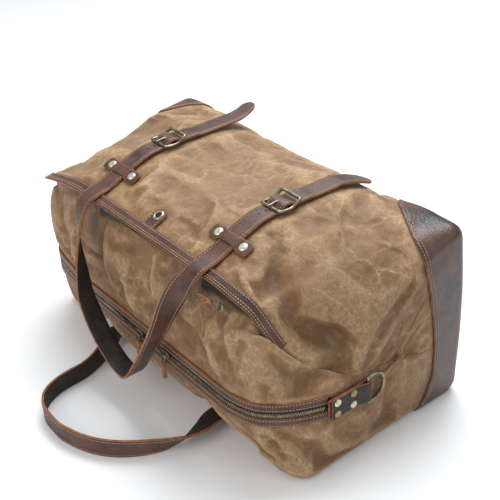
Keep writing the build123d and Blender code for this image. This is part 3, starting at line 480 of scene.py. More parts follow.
# Folds: corners of a line in mm, height in mm (negative is a valley), half width in mm
FOLDS = [
    ([(188, -152, 188), (204, -139, 178), (216, -115, 157), (228, -85, 134), (240, -62, 121)], 3, 6),
    ([(204, -94, 186), (215, -78, 172), (226, -62, 160), (236, -52, 146)], -15, 15),
    ([(160, -100, 230), (182, -96, 226), (200, -88, 210)], -5, 13),
    ([(178, -40, 238), (200, -42, 228), (222, -44, 206)], 5, 12),
    ([(243, -26, 170), (246, -36, 145), (246, -50, 118)], 3.5, 6),
    ([(240, 8, 200), (246, 12, 165), (247, 10, 130)], -2.6, 10),
    ([(243, 32, 196), (247, 38, 160), (247, 44, 128)], -2.4, 9),
    ([(247, 60, 60), (247, 30, 88), (247, -10, 90)], 2.2, 5),
    ([(170, -162, 60), (200, -152, 40), (236, -118, 10)], 4, 9),
    ([(205, -142, 70), (226, -122, 40), (240, -112, 4)], 4.5, 7),
    ([(215, -136, 66), (236, -104, 44), (244, -96, 20)], -5, 9),
    ([(60, -158, 190), (80, -160, 150), (110, -163, 112)], -5, 16),
    ([(95, -156, 190), (120, -160, 158), (150, -163, 122)], 4, 11),
    ([(150, -152, 192), (158, -160, 150), (172, -163, 112)], -4, 12),
    ([(-100, -154, 190), (-96, -160, 150), (-84, -163, 112)], -7, 20),
    ([(-94, -150, 205), (-90, -156, 172), (-80, -161, 132)], -5, 9),
    ([(-40, -155, 180), (-20, -160, 140), (10, -163, 110)], 3.5, 14),
    ([(-10, -154, 196), (15, -158, 160), (30, -163, 118)], -3.5, 12),
    ([(-236, -120, 176), (-226, -134, 140), (-210, -150, 112)], 4, 12),
    ([(-215, -140, 186), (-190, -154, 150), (-150, -162, 112)], -4, 16),
    ([(-170, -152, 190), (-150, -158, 150), (-128, -163, 112)], 3.5, 12),
    ([(-240, -60, 206), (-190, -62, 226), (-140, -74, 244)], 3.5, 10),
    ([(-238, -10, 214), (-200, -2, 234), (-150, 20, 248)], -3, 14),
    ([(-236, 30, 222), (-200, 36, 236), (-170, 60, 242)], 3, 9),
    ([(-60, 0, 250), (-20, 16, 250), (30, 10, 250)], -2.2, 18),
    ([(20, -60, 250), (52, -76, 246), (70, -100, 236)], 2.2, 7),
    ([(130, 70, 242), (160, 40, 246), (180, 0, 240)], -2.5, 15),
    ([(150, -70, 244), (175, -96, 232), (188, -120, 218)], -4, 14),
    ([(150, -118, 228), (168, -126, 220), (182, -134, 210)], 2.5, 7),
    ([(60, 96, 234), (100, 100, 234), (145, 98, 236)], -3.5, 14),
    ([(-150, 98, 236), (-100, 100, 234), (-50, 98, 232)], -3, 14),
]


def fold_height(points):
    height = np.zeros(points.shape[:-1])
    for line, rise, width in FOLDS:
        gap, share = distance_to_line(points, line)
        taper = np.clip(np.sin(math.pi * np.clip(share * 0.86 + 0.07, 0, 1)), 0, 1) ** 0.7
        height += rise * MM * np.exp(-((gap / (width * MM)) ** 2)) * taper
    return height


# What lies on the canvas: middle and half size in x and y, and how far beyond its edge the canvas is held
HOLDS = [("top", 0, 10, -130, 24, 12)]
for middle in (-106, 106):
    HOLDS += [
        ("top", middle, 13, -22, 132, 16), ("top", middle, 33, -98, 10, 10), ("top", middle, 18, -30, 18, 14),
        ("foot", middle, 13, -130, 20, 12),
    ]


def freedom(points, rows):
    """From 0, where leather or a seam holds the canvas down, to 1, where it is free."""
    mm = points / MM
    x, y, z = mm[..., 0], mm[..., 1], mm[..., 2]
    free = np.ones(points.shape[:-1])

    def hold(distance, near, far):
        nonlocal free
        free = np.minimum(free, soft_step(near, far, distance))

    for where, middle_x, half_x, middle_y, half_y, soft in HOLDS:
        distance = np.maximum(np.abs(x - middle_x) - half_x, np.abs(y - middle_y) - half_y)
        hold(np.where(z > 150 if where == "top" else z < 40, distance, 99), 0, soft)
    end_tab = np.maximum(np.abs(y + 64) - 30, np.abs(z - ZIP_Z) - 15)
    hold(np.where(np.abs(x) > 232, end_tab, 99), 0, 14)
    for side in (-1, 1):
        hold(-cap_depth(points, side) / MM, 0, 14)
    row = np.arange(points.shape[1])
    for first, last, spread, end in (
        (rows[ZIP_TOP] - 1, rows[ZIP_FOOT] + 1, 5, 260), (rows[POCKET_EDGE] - 5, rows[LIP_UNDER], 4, 202)
    ):
        gap = np.maximum(np.maximum(first - row, row - last), 0)
        loose = soft_step(end - 8, end, x[:, :1])
        free = np.minimum(free, np.maximum(soft_step(0, spread, gap)[None, :], loose))
    floor = soft_step(0.5, 12, z)
    return free * floor


CLOTH_FRAMES = 22
CLOTH_REACH = 9 * MM


def simulated(grid, free):
    """How far each point moves when the shell is simulated as cloth a little too big for its seams."""
    coarse = grid[::2, ::2]
    columns, rows = coarse.shape[:2]
    cloth = mesh_piece("cloth_trial", coarse.reshape(-1, 3), grid_faces(columns, rows), [])
    pins = cloth.vertex_groups.new(name="pins")
    for index, value in enumerate(free[::2, ::2].reshape(-1)):
        pins.add([index], float(np.clip(1.02 - value, 0, 1)) ** 1.5, "REPLACE")
    modifier = cloth.modifiers.new("cloth", "CLOTH")
    settings = modifier.settings
    settings.quality = 5
    settings.mass = 0.25
    settings.tension_stiffness = settings.compression_stiffness = 22
    settings.shear_stiffness = 14
    settings.bending_stiffness = 1.1
    settings.air_damping = 3
    settings.vertex_group_mass = "pins"
    settings.pin_stiffness = 3
    settings.shrink_min = -0.055
    settings.use_pressure = True
    settings.uniform_pressure_force = 1.2
    settings.effector_weights.gravity = 0.25
    scene = bpy.context.scene
    for number in range(1, CLOTH_FRAMES + 1):
        scene.frame_set(number)
    shape = cloth.evaluated_get(bpy.context.evaluated_depsgraph_get()).data
    moved = np.zeros(len(shape.vertices) * 3, np.float32)
    shape.vertices.foreach_get("co", moved)
    scene.frame_set(1)
    bpy.data.objects.remove(cloth)
    return moved.reshape(columns, rows, 3).astype(float) - coarse


def spread_out(values, columns, rows):
    """Values on every second column and row, filled in to the whole grid."""
    at = np.arange(columns) / 2
    low = np.minimum(at.astype(int), values.shape[0] - 1)
    high = np.minimum(low + 1, values.shape[0] - 1)
    part = (at - low)[:, None, None]
    values = values[low] * (1 - part) + values[high] * part
    at = np.arange(rows) / 2
    low = np.minimum(at.astype(int), values.shape[1] - 1)
    high = (low + 1) % values.shape[1]
    part = (at - low)[None, :, None]
    return values[:, low] * (1 - part) + values[:, high] * part


def blurred(values, times):
    for _ in range(times):
        padded = np.concatenate([values[:1], values, values[-1:]])
        values = (padded[:-2] + 2 * padded[1:-1] + padded[2:]) / 4
        values = (np.roll(values, 1, axis=1) + 2 * values + np.roll(values, -1, axis=1)) / 4
    return values


def crumple(points):
    """Small creases all over: sharp where two slopes of noise meet."""
    flat = points.reshape(-1, 3)
    height = np.zeros(len(flat))
    for index, point in enumerate(flat):
        p = Vector(point)
        wander = noise.noise_vector(p * 11) * 0.02
        q = (p + wander) * 24 + Vector((SEED, 0, 0))
        near = noise.voronoi(q)[0]
        height[index] = (
            1.1 * (0.35 - abs(noise.noise(q * 0.62)))
            + 0.75 * (0.3 - abs(noise.noise(q * 1.5)))
            + 0.9 * max(0.0, 0.22 - (near[1] - near[0]))
        )
    return height.reshape(points.shape[:-1]) * MM * 1.25


# Painted shadow in the gaps where the pocket's edge stands away from the gusset: x of each gap's deep and
# shallow ends, and its depth
POCKET_GAP_SHADOWS = ((110, 186, 15), (-92, -34, 11), (-248, -222, 14))


def gap_shade(grid, rows):
    """From 0 to 1: how much painted shadow the canvas gets in the gap under the pocket's edge."""
    x = grid[:, :1, 0] / MM
    below = (np.arange(grid.shape[1]) - rows[LIP_UNDER])[None, :] * ROW_STEP
    shade = np.zeros(grid.shape[:2])
    for deep, shallow, depth in POCKET_GAP_SHADOWS:
        share = (x - deep) / (shallow - deep)
        reach = depth * np.clip(1 - share, 0, 1) ** 0.7 * (share > -0.1)
        shade = np.maximum(shade, soft_step(0, 4, reach - below) * (below > -8) * soft_step(0, 2, reach))
    on_end_face = np.abs(x) > SHELL_ENDS + 0.01
    return shade * ~on_end_face


def make_shell():
    grid, rows = shell_grid()
    normal = grid_normals(grid)
    free = freedom(grid, rows)
    shape = grid + normal * (fold_height(grid) * free)[..., None]
    shape[..., 2] = np.maximum(shape[..., 2], 0)
    move = blurred(spread_out(simulated(shape, free), *grid.shape[:2]), 1)
    size = np.linalg.norm(move, axis=2, keepdims=True)
    move = move / np.maximum(size, 1e-9) * CLOTH_REACH * np.tanh(size / CLOTH_REACH)
    shape = shape + move * free[..., None]
    shape = shape + grid_normals(shape) * (crumple(grid) * free)[..., None]
    shape[..., 2] = np.maximum(shape[..., 2], 0)
    relief = np.einsum("ijk,ijk->ij", shape - blurred(shape, 10), grid_normals(shape))
    columns, count = grid.shape[:2]
    shell = mesh_piece("canvas_shell", shape.reshape(-1, 3), grid_faces(columns, count), [canvas_material()])
    # crest, from the shell's relief, drives the painted shade in the canvas's folds and the paleness of its
    # ridges
    crest = np.clip(0.5 + blurred(relief, 1) / (3.2 * MM), 0, 1)
    # The gap attribute carries the painted shadow under the pocket's edge
    for name, values in (("crest", crest), ("gap", gap_shade(grid, rows))):
        attribute = shell.data.attributes.new(name, "FLOAT", "POINT")
        attribute.data.foreach_set("value", values.reshape(-1).astype(np.float32))
    settle(
        shell, "bag", "canvas", "front_panel", "pocket_panel", "bottom_panel", "back_panel", "zip_gusset_front",
        "zip_gusset_back", "end_panel_left", "end_panel_right", "lining", "base_board",
    )
    return shape, grid, rows


# ---------------------------------------------------------------- more materials


def leather_material(name, dark, light, polish):
    """Oiled leather: mottled, with a fine pebble grain and paler rubbed patches. polish is its roughness."""
    n = Nodes(name)
    place = n.place()
    cloud = n.noise(place, 26.0, 5.0, 0.65)
    rubbed = n.ramp(n.noise(n.shift(place, (1.0, 5.0, 2.0), 1.0), 14.0, 4.0, 0.6), 0.48, 0.75)
    tone = n.ramp(cloud, 0.32, 0.7)
    color = n.mix(tone, dark, light)
    color = n.mix(n.times(rubbed, 0.35), color, tuple(min(1, c * 1.9 + 0.02) for c in light))
    scratches = n.ramp(n.noise(n.place(scale=(60, 420, 60)), 2.2, 4.0, 0.7), 0.60, 0.72)
    color = n.mix(n.times(scratches, 0.12), color, tuple(min(1, c * 2.6) for c in light))
    grain = n.cells(n.warped(place, 300.0, 0.0012), 620.0)
    rough = n.ramp(n.blend(cloud, 0.6, rubbed, 0.3), 0.1, 0.8, polish - 0.08, polish + 0.2)
    normal = n.bump(grain, 0.45, 0.0005)
    normal = n.bump(n.noise(place, 70.0, 4.0, 0.6), 0.4, 0.0016, normal)
    return n.finish(color, rough, normal, Specular_IOR_Level=0.5)


def plain_material(name, dark, light, scale, rough, bump_size=0.0003, metallic=0.0):
    """A mottled surface with a fine bump, for edges, thread, metal and tape."""
    n = Nodes(name)
    place = n.place()
    tone = n.ramp(n.noise(place, scale, 5.0, 0.7), 0.3, 0.7)
    worn = n.ramp(n.noise(place, scale * 0.35, 4.0, 0.6), 0.3, 0.75, rough - 0.1, rough + 0.12)
    normal = n.bump(n.noise(place, scale * 6, 3.0, 0.6), 0.5, bump_size)
    return n.finish(n.mix(tone, dark, light), worn, normal, metallic)


# Colours are linear red, green and blue: the darker and the lighter of each material's mottle
LEATHER = leather_material("dark_leather", (0.030, 0.0098, 0.005), (0.112, 0.041, 0.022), 0.48)
CAP_LEATHER = leather_material("cap_leather", (0.012, 0.0048, 0.0035), (0.098, 0.038, 0.023), 0.34)
FLESH = plain_material("leather_underside", (0.012, 0.008, 0.007), (0.034, 0.022, 0.018), 60, 0.7, 0.0005)
EDGE = plain_material("leather_edge", (0.16, 0.050, 0.018), (0.36, 0.135, 0.052), 160, 0.55, 0.0004)
THREAD = plain_material("linen_thread", (0.36, 0.22, 0.13), (0.60, 0.43, 0.29), 500, 0.8)
THONG = plain_material("thong_leather", (0.19, 0.055, 0.018), (0.42, 0.15, 0.05), 90, 0.5, 0.0005)
TOOTH_BRASS = plain_material("tooth_brass", (0.13, 0.11, 0.065), (0.46, 0.39, 0.26), 160, 0.3, 0.0001, 1.0)
BRASS = plain_material("antique_brass", (0.15, 0.13, 0.085), (0.36, 0.32, 0.22), 90, 0.32, 0.0001, 1.0)
PALE_BRASS = plain_material("pale_brass", (0.50, 0.44, 0.30), (0.84, 0.78, 0.62), 120, 0.32, 0.0002, 0.75)
OLIVE_BRASS = plain_material("olive_brass", (0.20, 0.17, 0.07), (0.42, 0.37, 0.17), 120, 0.34, 0.0002, 0.85)
TAPE = plain_material("woven_tape", (0.014, 0.010, 0.008), (0.045, 0.030, 0.020), 700, 0.85, 0.0006)
# Painted shade: a near-black material for discs set in holes, where only shadow shows
HOLE_SHADE = plain_material("painted_hole_shade", (0.006, 0.005, 0.004), (0.012, 0.009, 0.007), 90, 0.9)
EYELET_BRASS = plain_material("eyelet_brass", (0.30, 0.27, 0.19), (0.66, 0.61, 0.47), 150, 0.28, 0.0001, 1.0)
STRAP_FINISH = [LEATHER, EDGE, FLESH, THREAD]

# ---------------------------------------------------------------- straps, stitches, tubes, plates


def distances(line):
    """How far along a line each of its points lies."""
    return np.concatenate([[0], np.cumsum(np.linalg.norm(np.diff(line, axis=0), axis=1))])


def eased(line, times):
    """A line whose inner points are drawn towards their neighbours. The array itself is changed."""
    for _ in range(times):
        line[1:-1] = (line[:-2] + 2 * line[1:-1] + line[2:]) / 4
    return line


def resampled(points, step):
    """A smooth line through points, at even steps, as an array. Columns past the third are carried along."""
    points = np.asarray(points, float)
    run = distances(points[:, :3])
    count = max(3, int(run[-1] / step) + 1)
    fine = eased(smooth_through(run, points, np.linspace(0, run[-1], count * 3)), 6)
    run = distances(fine[:, :3])
    even = np.linspace(0, run[-1], count)
    return np.column_stack([np.interp(even, run, fine[:, k]) for k in range(points.shape[1])])


def unit(vectors):
    vectors = np.asarray(vectors, float)
    return vectors / np.maximum(np.linalg.norm(vectors, axis=-1, keepdims=True), 1e-12)


def turns(count):
    """Cosine and sine at even steps round a circle."""
    return [(math.cos(2 * math.pi * k / count), math.sin(2 * math.pi * k / count)) for k in range(count)]


def arc(radius, angles):
    """Points on a circle, at angles in degrees."""
    return [(radius * math.cos(math.radians(a)), radius * math.sin(math.radians(a))) for a in angles]


def loft_faces(rings, ring):
    """Faces over rings of points that follow each other in a vertex list, and last, the two ends."""
    faces = []
    for start in range(0, (rings - 1) * ring, ring):
        for k in range(ring):
            here, following = start + k, start + (k + 1) % ring
            faces.append((here, following, following + ring, here + ring))
    return faces + [tuple(range(ring))[::-1], tuple(range((rings - 1) * ring, rings * ring))]


def add_mesh(vertices, faces, more_vertices, more_faces):
    faces += [tuple(v + len(vertices) for v in face) for face in more_faces]
    vertices += more_vertices


def settle(piece, body, slot, *nodes):
    """Rides the piece on a body and hides the CAD nodes it stands for. slot is not used."""
    if body:
        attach(piece, body)
    if nodes:
        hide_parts(*nodes)


def capsule(centre, along, across, out, long, wide):
    """Vertices and faces of one stitch: a small rounded bar that dips in at both ends."""
    vertices = []
    rings = ((-0.5, 0.35, -0.5), (-0.32, 1, 0.25), (0, 1.1, 0.45), (0.32, 1, 0.25), (0.5, 0.35, -0.5))
    for share, girth, lift in rings:
        for cosine, sine in turns(5):
            vertices.append(
                centre + along * long * share + (across * cosine + out * (sine + lift)) * wide / 2 * girth
            )
    return vertices, loft_faces(5, 5)


def stitch_row(line, out, pitch=3.6 * MM, long=2.6 * MM, wide=0.8 * MM):
    """Stitches along a line of points whose surface faces out, as vertices and faces."""
    run = distances(line)
    vertices, faces = [], []
    heading = unit(np.gradient(line, axis=0))
    for place in np.arange(pitch, run[-1] - pitch / 2, pitch):
        point, along, face = (
            np.array([np.interp(place, run, values[:, k]) for k in range(3)]) for values in (line, heading, out)
        )
        along, face = unit(along), unit(face)
        side = unit(np.cross(face, along))
        add_mesh(vertices, faces, *capsule(point, along, side, face, long, wide))
    return vertices, faces


def settle_stitches(name, slot, vertices, faces):
    settle(mesh_piece(name, vertices, faces, [THREAD]), "bag", slot)


def strap(name, points, across, width, thick, materials, rows=(), step=2.6 * MM, widths=None, lift=0.0):
    """A flat leather strap along points. across is the direction of its width, for all points or for each.

    rows are offsets, in metres, of its stitch rows from its middle, and widths gives its width at a share of
    its length.
    """
    line = resampled(np.column_stack([points, np.broadcast_to(across, (len(points), 3))]), step)
    centre, side = line[:, :3], line[:, 3:6]
    heading = unit(np.gradient(centre, axis=0))
    side = unit(side - heading * np.sum(side * heading, axis=1, keepdims=True))
    out = np.cross(heading, side)
    centre = centre + out * lift
    count = len(centre)
    half = np.full(count, width / 2)
    if widths is not None:
        half = np.array([widths(t) for t in np.linspace(0, 1, count)]) / 2
    rim, deep = 0.35 * MM, thick / 2
    # Across the width: share of the half width, height, and how far the point is drawn in from the edge
    profile = [(-1, -deep + rim, 0), (-1, deep - rim, 0), (-1, deep, rim)]
    profile += [(s, deep + (0.12 * MM if abs(s) < 0.6 else 0), 0) for s in (-0.7, -0.35, 0, 0.35, 0.7)]
    profile += [(1, deep, rim), (1, deep - rim, 0), (1, -deep + rim, 0), (1, -deep, rim)]
    profile += [(0.4, -deep, 0), (-0.4, -deep, 0), (-1, -deep, rim)]
    face_kinds = [1, 1] + [0] * 6 + [1, 1, 1] + [2, 2, 2] + [1]
    vertices = []
    for index in range(count):
        for s, height, inset in profile:
            offset = s * half[index] - math.copysign(inset, s)
            vertices.append(centre[index] + side[index] * offset + out[index] * height)
    *quads, first, last = loft_faces(count, len(profile))
    faces = [(a, d, c, b) for a, b, c, d in quads] + [first[::-1], last[::-1]]
    indices = face_kinds * (count - 1) + [1, 1]
    for offset in rows:
        keep = half > abs(offset) + 1.2 * MM
        row_line = centre + side * offset + out * (deep + 0.05 * MM)
        more, stitches = stitch_row(row_line[keep], out[keep])
        add_mesh(vertices, faces, more, stitches)
        indices += [3] * len(stitches)
    return mesh_piece(name, vertices, faces, materials, indices=indices)


def lace(name, body, points, across, wide, thick, node):
    piece = strap(name, points, across, wide * MM, thick * MM, [THONG, THONG, THONG, THREAD])
    settle(piece, body, "thong", node)


def tube(name, points, radius, material, closed=False, sides=14, step=1.2 * MM):
    """A round bar or wire along points."""
    points = np.asarray(points, float)
    if closed:
        points = np.vstack([points, points[:1]])
    line = resampled(points, step) if step else points
    heading = unit(np.gradient(line, axis=0))
    if closed:
        heading[0] = heading[-1] = unit(heading[0] + heading[-1])
    first = unit(np.cross(heading[0], (0.31, 0.52, 0.79)))
    vertices = []
    for point, along in zip(line, heading):
        first = unit(first - along * np.dot(first, along))
        second = np.cross(along, first)
        vertices += [point + (first * cosine + second * sine) * radius for cosine, sine in turns(sides)]
    return mesh_piece(name, vertices, loft_faces(len(line), sides), [material])


def wire(name, body, points, radius, *nodes, **more):
    """A brass tube, its radius in mm, on its body."""
    settle(tube(name, points, radius * MM, BRASS, **more), body, "brass", *nodes)


def turned_piece(name, origin, axis, profile, material, sides=36):
    """A lathe-turned piece: profile is (radius, height) from the axis, in mm."""
    axis = unit(axis)
    first = unit(np.cross(axis, (0.17, 0.61, 0.77)))
    second = np.cross(axis, first)
    vertices = []
    for radius, height in profile:
        foot = np.array(origin) + axis * (height * MM)
        vertices += [foot + (first * cosine + second * sine) * (radius * MM) for cosine, sine in turns(sides)]
    return mesh_piece(name, vertices, loft_faces(len(profile), sides), [material])


def plate(name, outline, origin, right, up, low, high, materials, bevel):
    """A flat plate with a rounded rim: its outline, its two heights and its rim are in mm."""
    origin, right, up = np.array(origin, float), unit(right), unit(up)
    out = np.cross(right, up)
    count = len(outline)
    vertices = [origin + (right * a + up * b + out * height) * MM for height in (low, high) for a, b in outline]
    *sides, under, over = loft_faces(2, count)
    indices = [0, 0] + [min(1, len(materials) - 1)] * count
    piece = mesh_piece(name, vertices, [under, over] + sides, materials, smooth=False, indices=indices)
    modifier = piece.modifiers.new("rounded_rim", "BEVEL")
    modifier.width = bevel * MM
    modifier.segments = 2
    modifier.limit_method = "ANGLE"
    return piece


def rounded_rectangle(long, wide, radius, steps=5):
    corners = []
    for a, b, start in ((1, 1, 0), (-1, 1, 90), (-1, -1, 180), (1, -1, 270)):
        for c, s in arc(radius, [start + 90 * k / steps for k in range(steps + 1)]):
            corners.append((a * (long / 2 - radius) + c, b * (wide / 2 - radius) + s))
    return corners


# ---------------------------------------------------------------- corner caps

CAP_THICK = 1.9 * MM
CAP_STITCHES = (2.6 * MM, 6.4 * MM)


def make_cap(side, name, shape, grid):
    """Leather skin over the shell's corner, cut along its seam, with two rows of stitches inside the seam."""
    depth = blurred(cap_depth(grid, side), 5)
    columns, rows = depth.shape
    normals = grid_normals(shape)
    lumps = np.array([noise.noise(Vector(p) * 30) for p in shape.reshape(-1, 3)]).reshape(columns, rows)
    skin = shape + normals * (0.35 * MM + 0.35 * MM * lumps)[..., None]
    skin[..., 2] = np.maximum(skin[..., 2], 1.4 * MM)
    bm = bmesh.new()
    corners, cuts = {}, {}

    def corner(here):
        if here not in corners:
            corners[here] = bm.verts.new(skin[here])
        return corners[here]

    def crossing(a, b):
        key = (min(a, b), max(a, b))
        if key not in cuts:
            t = depth[a] / (depth[a] - depth[b])
            cuts[key] = bm.verts.new(skin[a] * (1 - t) + skin[b] * t)
        return cuts[key]

    for c in range(columns - 1):
        for r in range(rows):
            s = (r + 1) % rows
            loop = [(c, r), (c, s), (c + 1, s), (c + 1, r)]
            face = []
            for here, there in zip(loop, loop[1:] + loop[:1]):
                if depth[here] > 0:
                    face.append(corner(here))
                if (depth[here] > 0) != (depth[there] > 0):
                    face.append(crossing(here, there))
            if len(face) > 2:
                bm.faces.new(face)
    bmesh.ops.remove_doubles(bm, verts=bm.verts, dist=1e-5)
    bmesh.ops.recalc_face_normals(bm, faces=bm.faces)
    cap = mesh_piece(name, [], [], [CAP_LEATHER, EDGE])
    bm.to_mesh(cap.data)
    bm.free()
    cap.data.polygons.foreach_set("use_smooth", [True] * len(cap.data.polygons))
    thick = cap.modifiers.new("thickness", "SOLIDIFY")
    thick.thickness = CAP_THICK
    thick.offset = 1
    thick.material_offset_rim = 1
    settle(cap, "bag", "leather", name)
    vertices, faces = [], []
    for inside in CAP_STITCHES:
        line, out = seam_line(depth - inside, shape, normals)
        line = resampled(np.column_stack([line + out * 2.3 * MM, out]), 2.5 * MM)
        add_mesh(vertices, faces, *stitch_row(line[:, :3], line[:, 3:6], wide=0.7 * MM))
    settle_stitches(name + "_stitches", "leather", vertices, faces)


def seam_line(depth, shape, normals):
    """The line where depth is zero: over the front by columns, then down the end face by rings."""
    columns, rows = depth.shape
    upper, lower = [], []
    order = range(columns) if np.argmax(depth.max(axis=1)) > columns / 2 else range(columns - 1, -1, -1)
    for c in order:
        found = []
        for r in range(rows):
            s = (r + 1) % rows
            if (depth[c, r] > 0) != (depth[c, s] > 0):
                t = depth[c, r] / (depth[c, r] - depth[c, s])
                place, out = (values[c, r] * (1 - t) + values[c, s] * t for values in (shape, normals))
                found.append((place, unit(out)))
        if not found:
            continue
        found.sort(key=lambda pair: -pair[0][2])
        upper.append(found[0])
        on_end_face = abs(shape[c, 0, 0]) > (SHELL_ENDS - 1) * MM
        if on_end_face and len(found) > 1 and found[-1][0][2] > 4 * MM:
            lower.append(found[-1])
    places, outs = zip(*(upper + lower[::-1]))
    return np.array(places), np.array(outs)


# ---------------------------------------------------------------- trims and the main zip

ZIP_FRONT_FROM = -84 * MM
ZIP_TRIM_RISE = 10.2 * MM
TRIM_THICK = 2.0 * MM


def make_zip(shape, rows):
    middle = (rows[ZIP_TOP] + rows[ZIP_FOOT]) // 2
    line = shape[:, middle].copy()
    line = line[line[:, 1] < ZIP_FRONT_FROM]
    line[:, 2] = ZIP_Z * MM
    eased(line, 12)
    up = np.tile((0, 0, 1), (len(line), 1))
    for name, rise in (("zip_trim_front", ZIP_TRIM_RISE), ("zip_trim_back", -ZIP_TRIM_RISE)):
        trim = strap(
            name + "_leather", line + (0, 0, rise), up, 10.5 * MM, TRIM_THICK, STRAP_FINISH,
            rows=(-3.2 * MM, 3.2 * MM), lift=1.4 * MM,
        )
        settle(trim, "bag", "leather", name)
    tape = strap("zip_tape_woven", line, up, 14 * MM, 0.9 * MM, [TAPE] * 4, lift=0.8 * MM)
    settle(tape, "bag", "zip_tape", "zip_tape_front", "zip_tape_back")
    teeth_chain("zip_teeth_chain", line, up, 1.7, 2.8, "zip_teeth_front", "zip_teeth_back")
    return line


def teeth_chain(name, line, up, out_by, size, *nodes):
    """Interlocking teeth along a line: each is a small waisted block, in turn from above and from below."""
    fine = resampled(np.column_stack([line, up]), 1.2 * MM)
    heading = unit(np.gradient(fine[:, :3], axis=0))
    vertices, faces = [], []
    for index, (point, along) in enumerate(zip(fine[:, :3], heading)):
        rise = unit(fine[index, 3:6])
        out = np.cross(along, rise)
        mark = 1 if index % 2 else -1
        block = []
        for share, wide, tall in ((-0.42, 0.62, 0.7), (0.35, 0.95, 1.0), (1.05, 0.7, 0.75)):
            for a, b in ((-1, -1), (1, -1), (1, 1), (-1, 1)):
                block.append(
                    point + rise * (mark * share * size * MM) + along * (a * wide * 0.42 * MM)
                    + out * (out_by + b * tall * 0.75) * MM
                )
        block_faces = loft_faces(3, 4)
        add_mesh(vertices, faces, block, block_faces if mark < 0 else [f[::-1] for f in block_faces])
    settle(mesh_piece(name, vertices, faces, [TOOTH_BRASS], smooth=False), "bag", "brass", *nodes)


ZIP_PIN_Y = -167.7
SLIDER_HALF = [(-7.5, 2.2), (-5.5, 4.4), (0, 5.0), (5.2, 4.0), (7.5, 1.6)]
SLIDER_OUTLINE = SLIDER_HALF + [(7.5, -1.6), (5.2, -4.0), (0, -5.0), (-5.5, -4.4), (-7.5, -2.2)]
SLIDER_BRIDGE = ((-5, 3.4, 0), (-4.6, 0.6, 0), (-3, -1.0, 0), (3, -1.0, 0), (4.6, 0.6, 0), (5, 3.4, 0))
PULL_LINK = (
    (-2.6, 0.6), (0, 1.0), (2.6, 0.6), (3.1, -2), (2.7, -8.5), (1.6, -11.6), (0, -12.2), (-1.6, -11.6),
    (-2.7, -8.5), (-3.1, -2),
)


def make_slider(side, x, line):
    """The main zip's slider, with its bridge, its pull link and its leather laces."""
    zip_face = line[np.argmin(np.abs(line[:, 0] - x * MM))][1] - 3.4 * MM
    slider, pull = f"zip_slider_{side}", f"zip_pull_{side}"
    origin = (x * MM, zip_face, ZIP_Z * MM)
    face = plate(
        slider + "_plate", SLIDER_OUTLINE[::-1], origin, (1, 0, 0), (0, 0, 1), -1.1, 1.0, [BRASS], 0.5,
    )
    settle(face, slider, "brass", slider)

    def at(a, b, c):
        return np.array((x + a, ZIP_PIN_Y + b, ZIP_Z + c)) * MM

    wire(slider + "_bridge", slider, [at(*p) for p in SLIDER_BRIDGE], 0.75)
    wire(pull + "_ring", pull, [at(a, 0, c) for a, c in PULL_LINK], 0.85, f"zip_pull_link_{side}", closed=True)
    for name, spread, end in (("short", 1.7, -31), ("long", -1.7, -35.5)):
        points = [
            at(spread * 0.5, 0, -10.4), at(spread * 0.8, -0.8, -17), at(spread * 1.1, -0.6, -26),
            at(spread * 1.6, 0.4, end),
        ]
        lace(f"{pull}_thong_{name}", pull, points, (1, 0, 0), 3.2, 1.9, f"zip_pull_thong_{side}")


# ---------------------------------------------------------------- pocket edge

POCKET_TRIM_ENDS = (-240 * MM, 204 * MM)
POCKET_ZIP_ENDS = (-123 * MM, 158 * MM)


def columns_between(shape, row, ends):
    return [c for c in range(shape.shape[0]) if ends[0] < shape[c, row, 0] < ends[1]]


def make_pocket_edge(shape, rows):
    edge = rows[POCKET_EDGE]
    columns = columns_between(shape, edge, POCKET_TRIM_ENDS)
    tip = shape[columns, edge - 2]
    inner = unit(shape[columns, edge - 8] - tip)
    eased(tip, 8)
    for _ in range(30):
        inner[1:] = (inner[:-1] + 2 * inner[1:] + np.vstack([inner[2:], inner[-1:]])) / 4
    trim = strap(
        "pocket_trim_leather", tip + inner * 2.4 * MM, inner, 14 * MM, 2.2 * MM, STRAP_FINISH,
        rows=(-4.6 * MM, -2.0 * MM, 4.6 * MM), lift=2.0 * MM,
    )
    settle(trim, "bag", "leather", "pocket_edge_trim")
    under = rows[LIP_UNDER] - 2
    where = columns_between(shape, under, POCKET_ZIP_ENDS)
    line = shape[where, under] + (0, -0.8 * MM, 0)
    up = unit(shape[where, under - 3] - shape[where, under + 3])
    tape = strap("pocket_tape_woven", line, up, 7 * MM, 0.8 * MM, [TAPE] * 4)
    settle(tape, "bag", "zip_tape", "pocket_zip_tape")
    teeth_chain("pocket_teeth_chain", line, up, 0.6, 1.5, "pocket_zip_teeth")


# The pocket zip's pull lies along the gusset, and its frame is the gusset's plane
GUSSET_UP = unit((0, 8, 49))
GUSSET_OUT = np.cross((1, 0, 0), GUSSET_UP)
PULL_PIN = np.array((148, -151.9, 198.8)) * MM


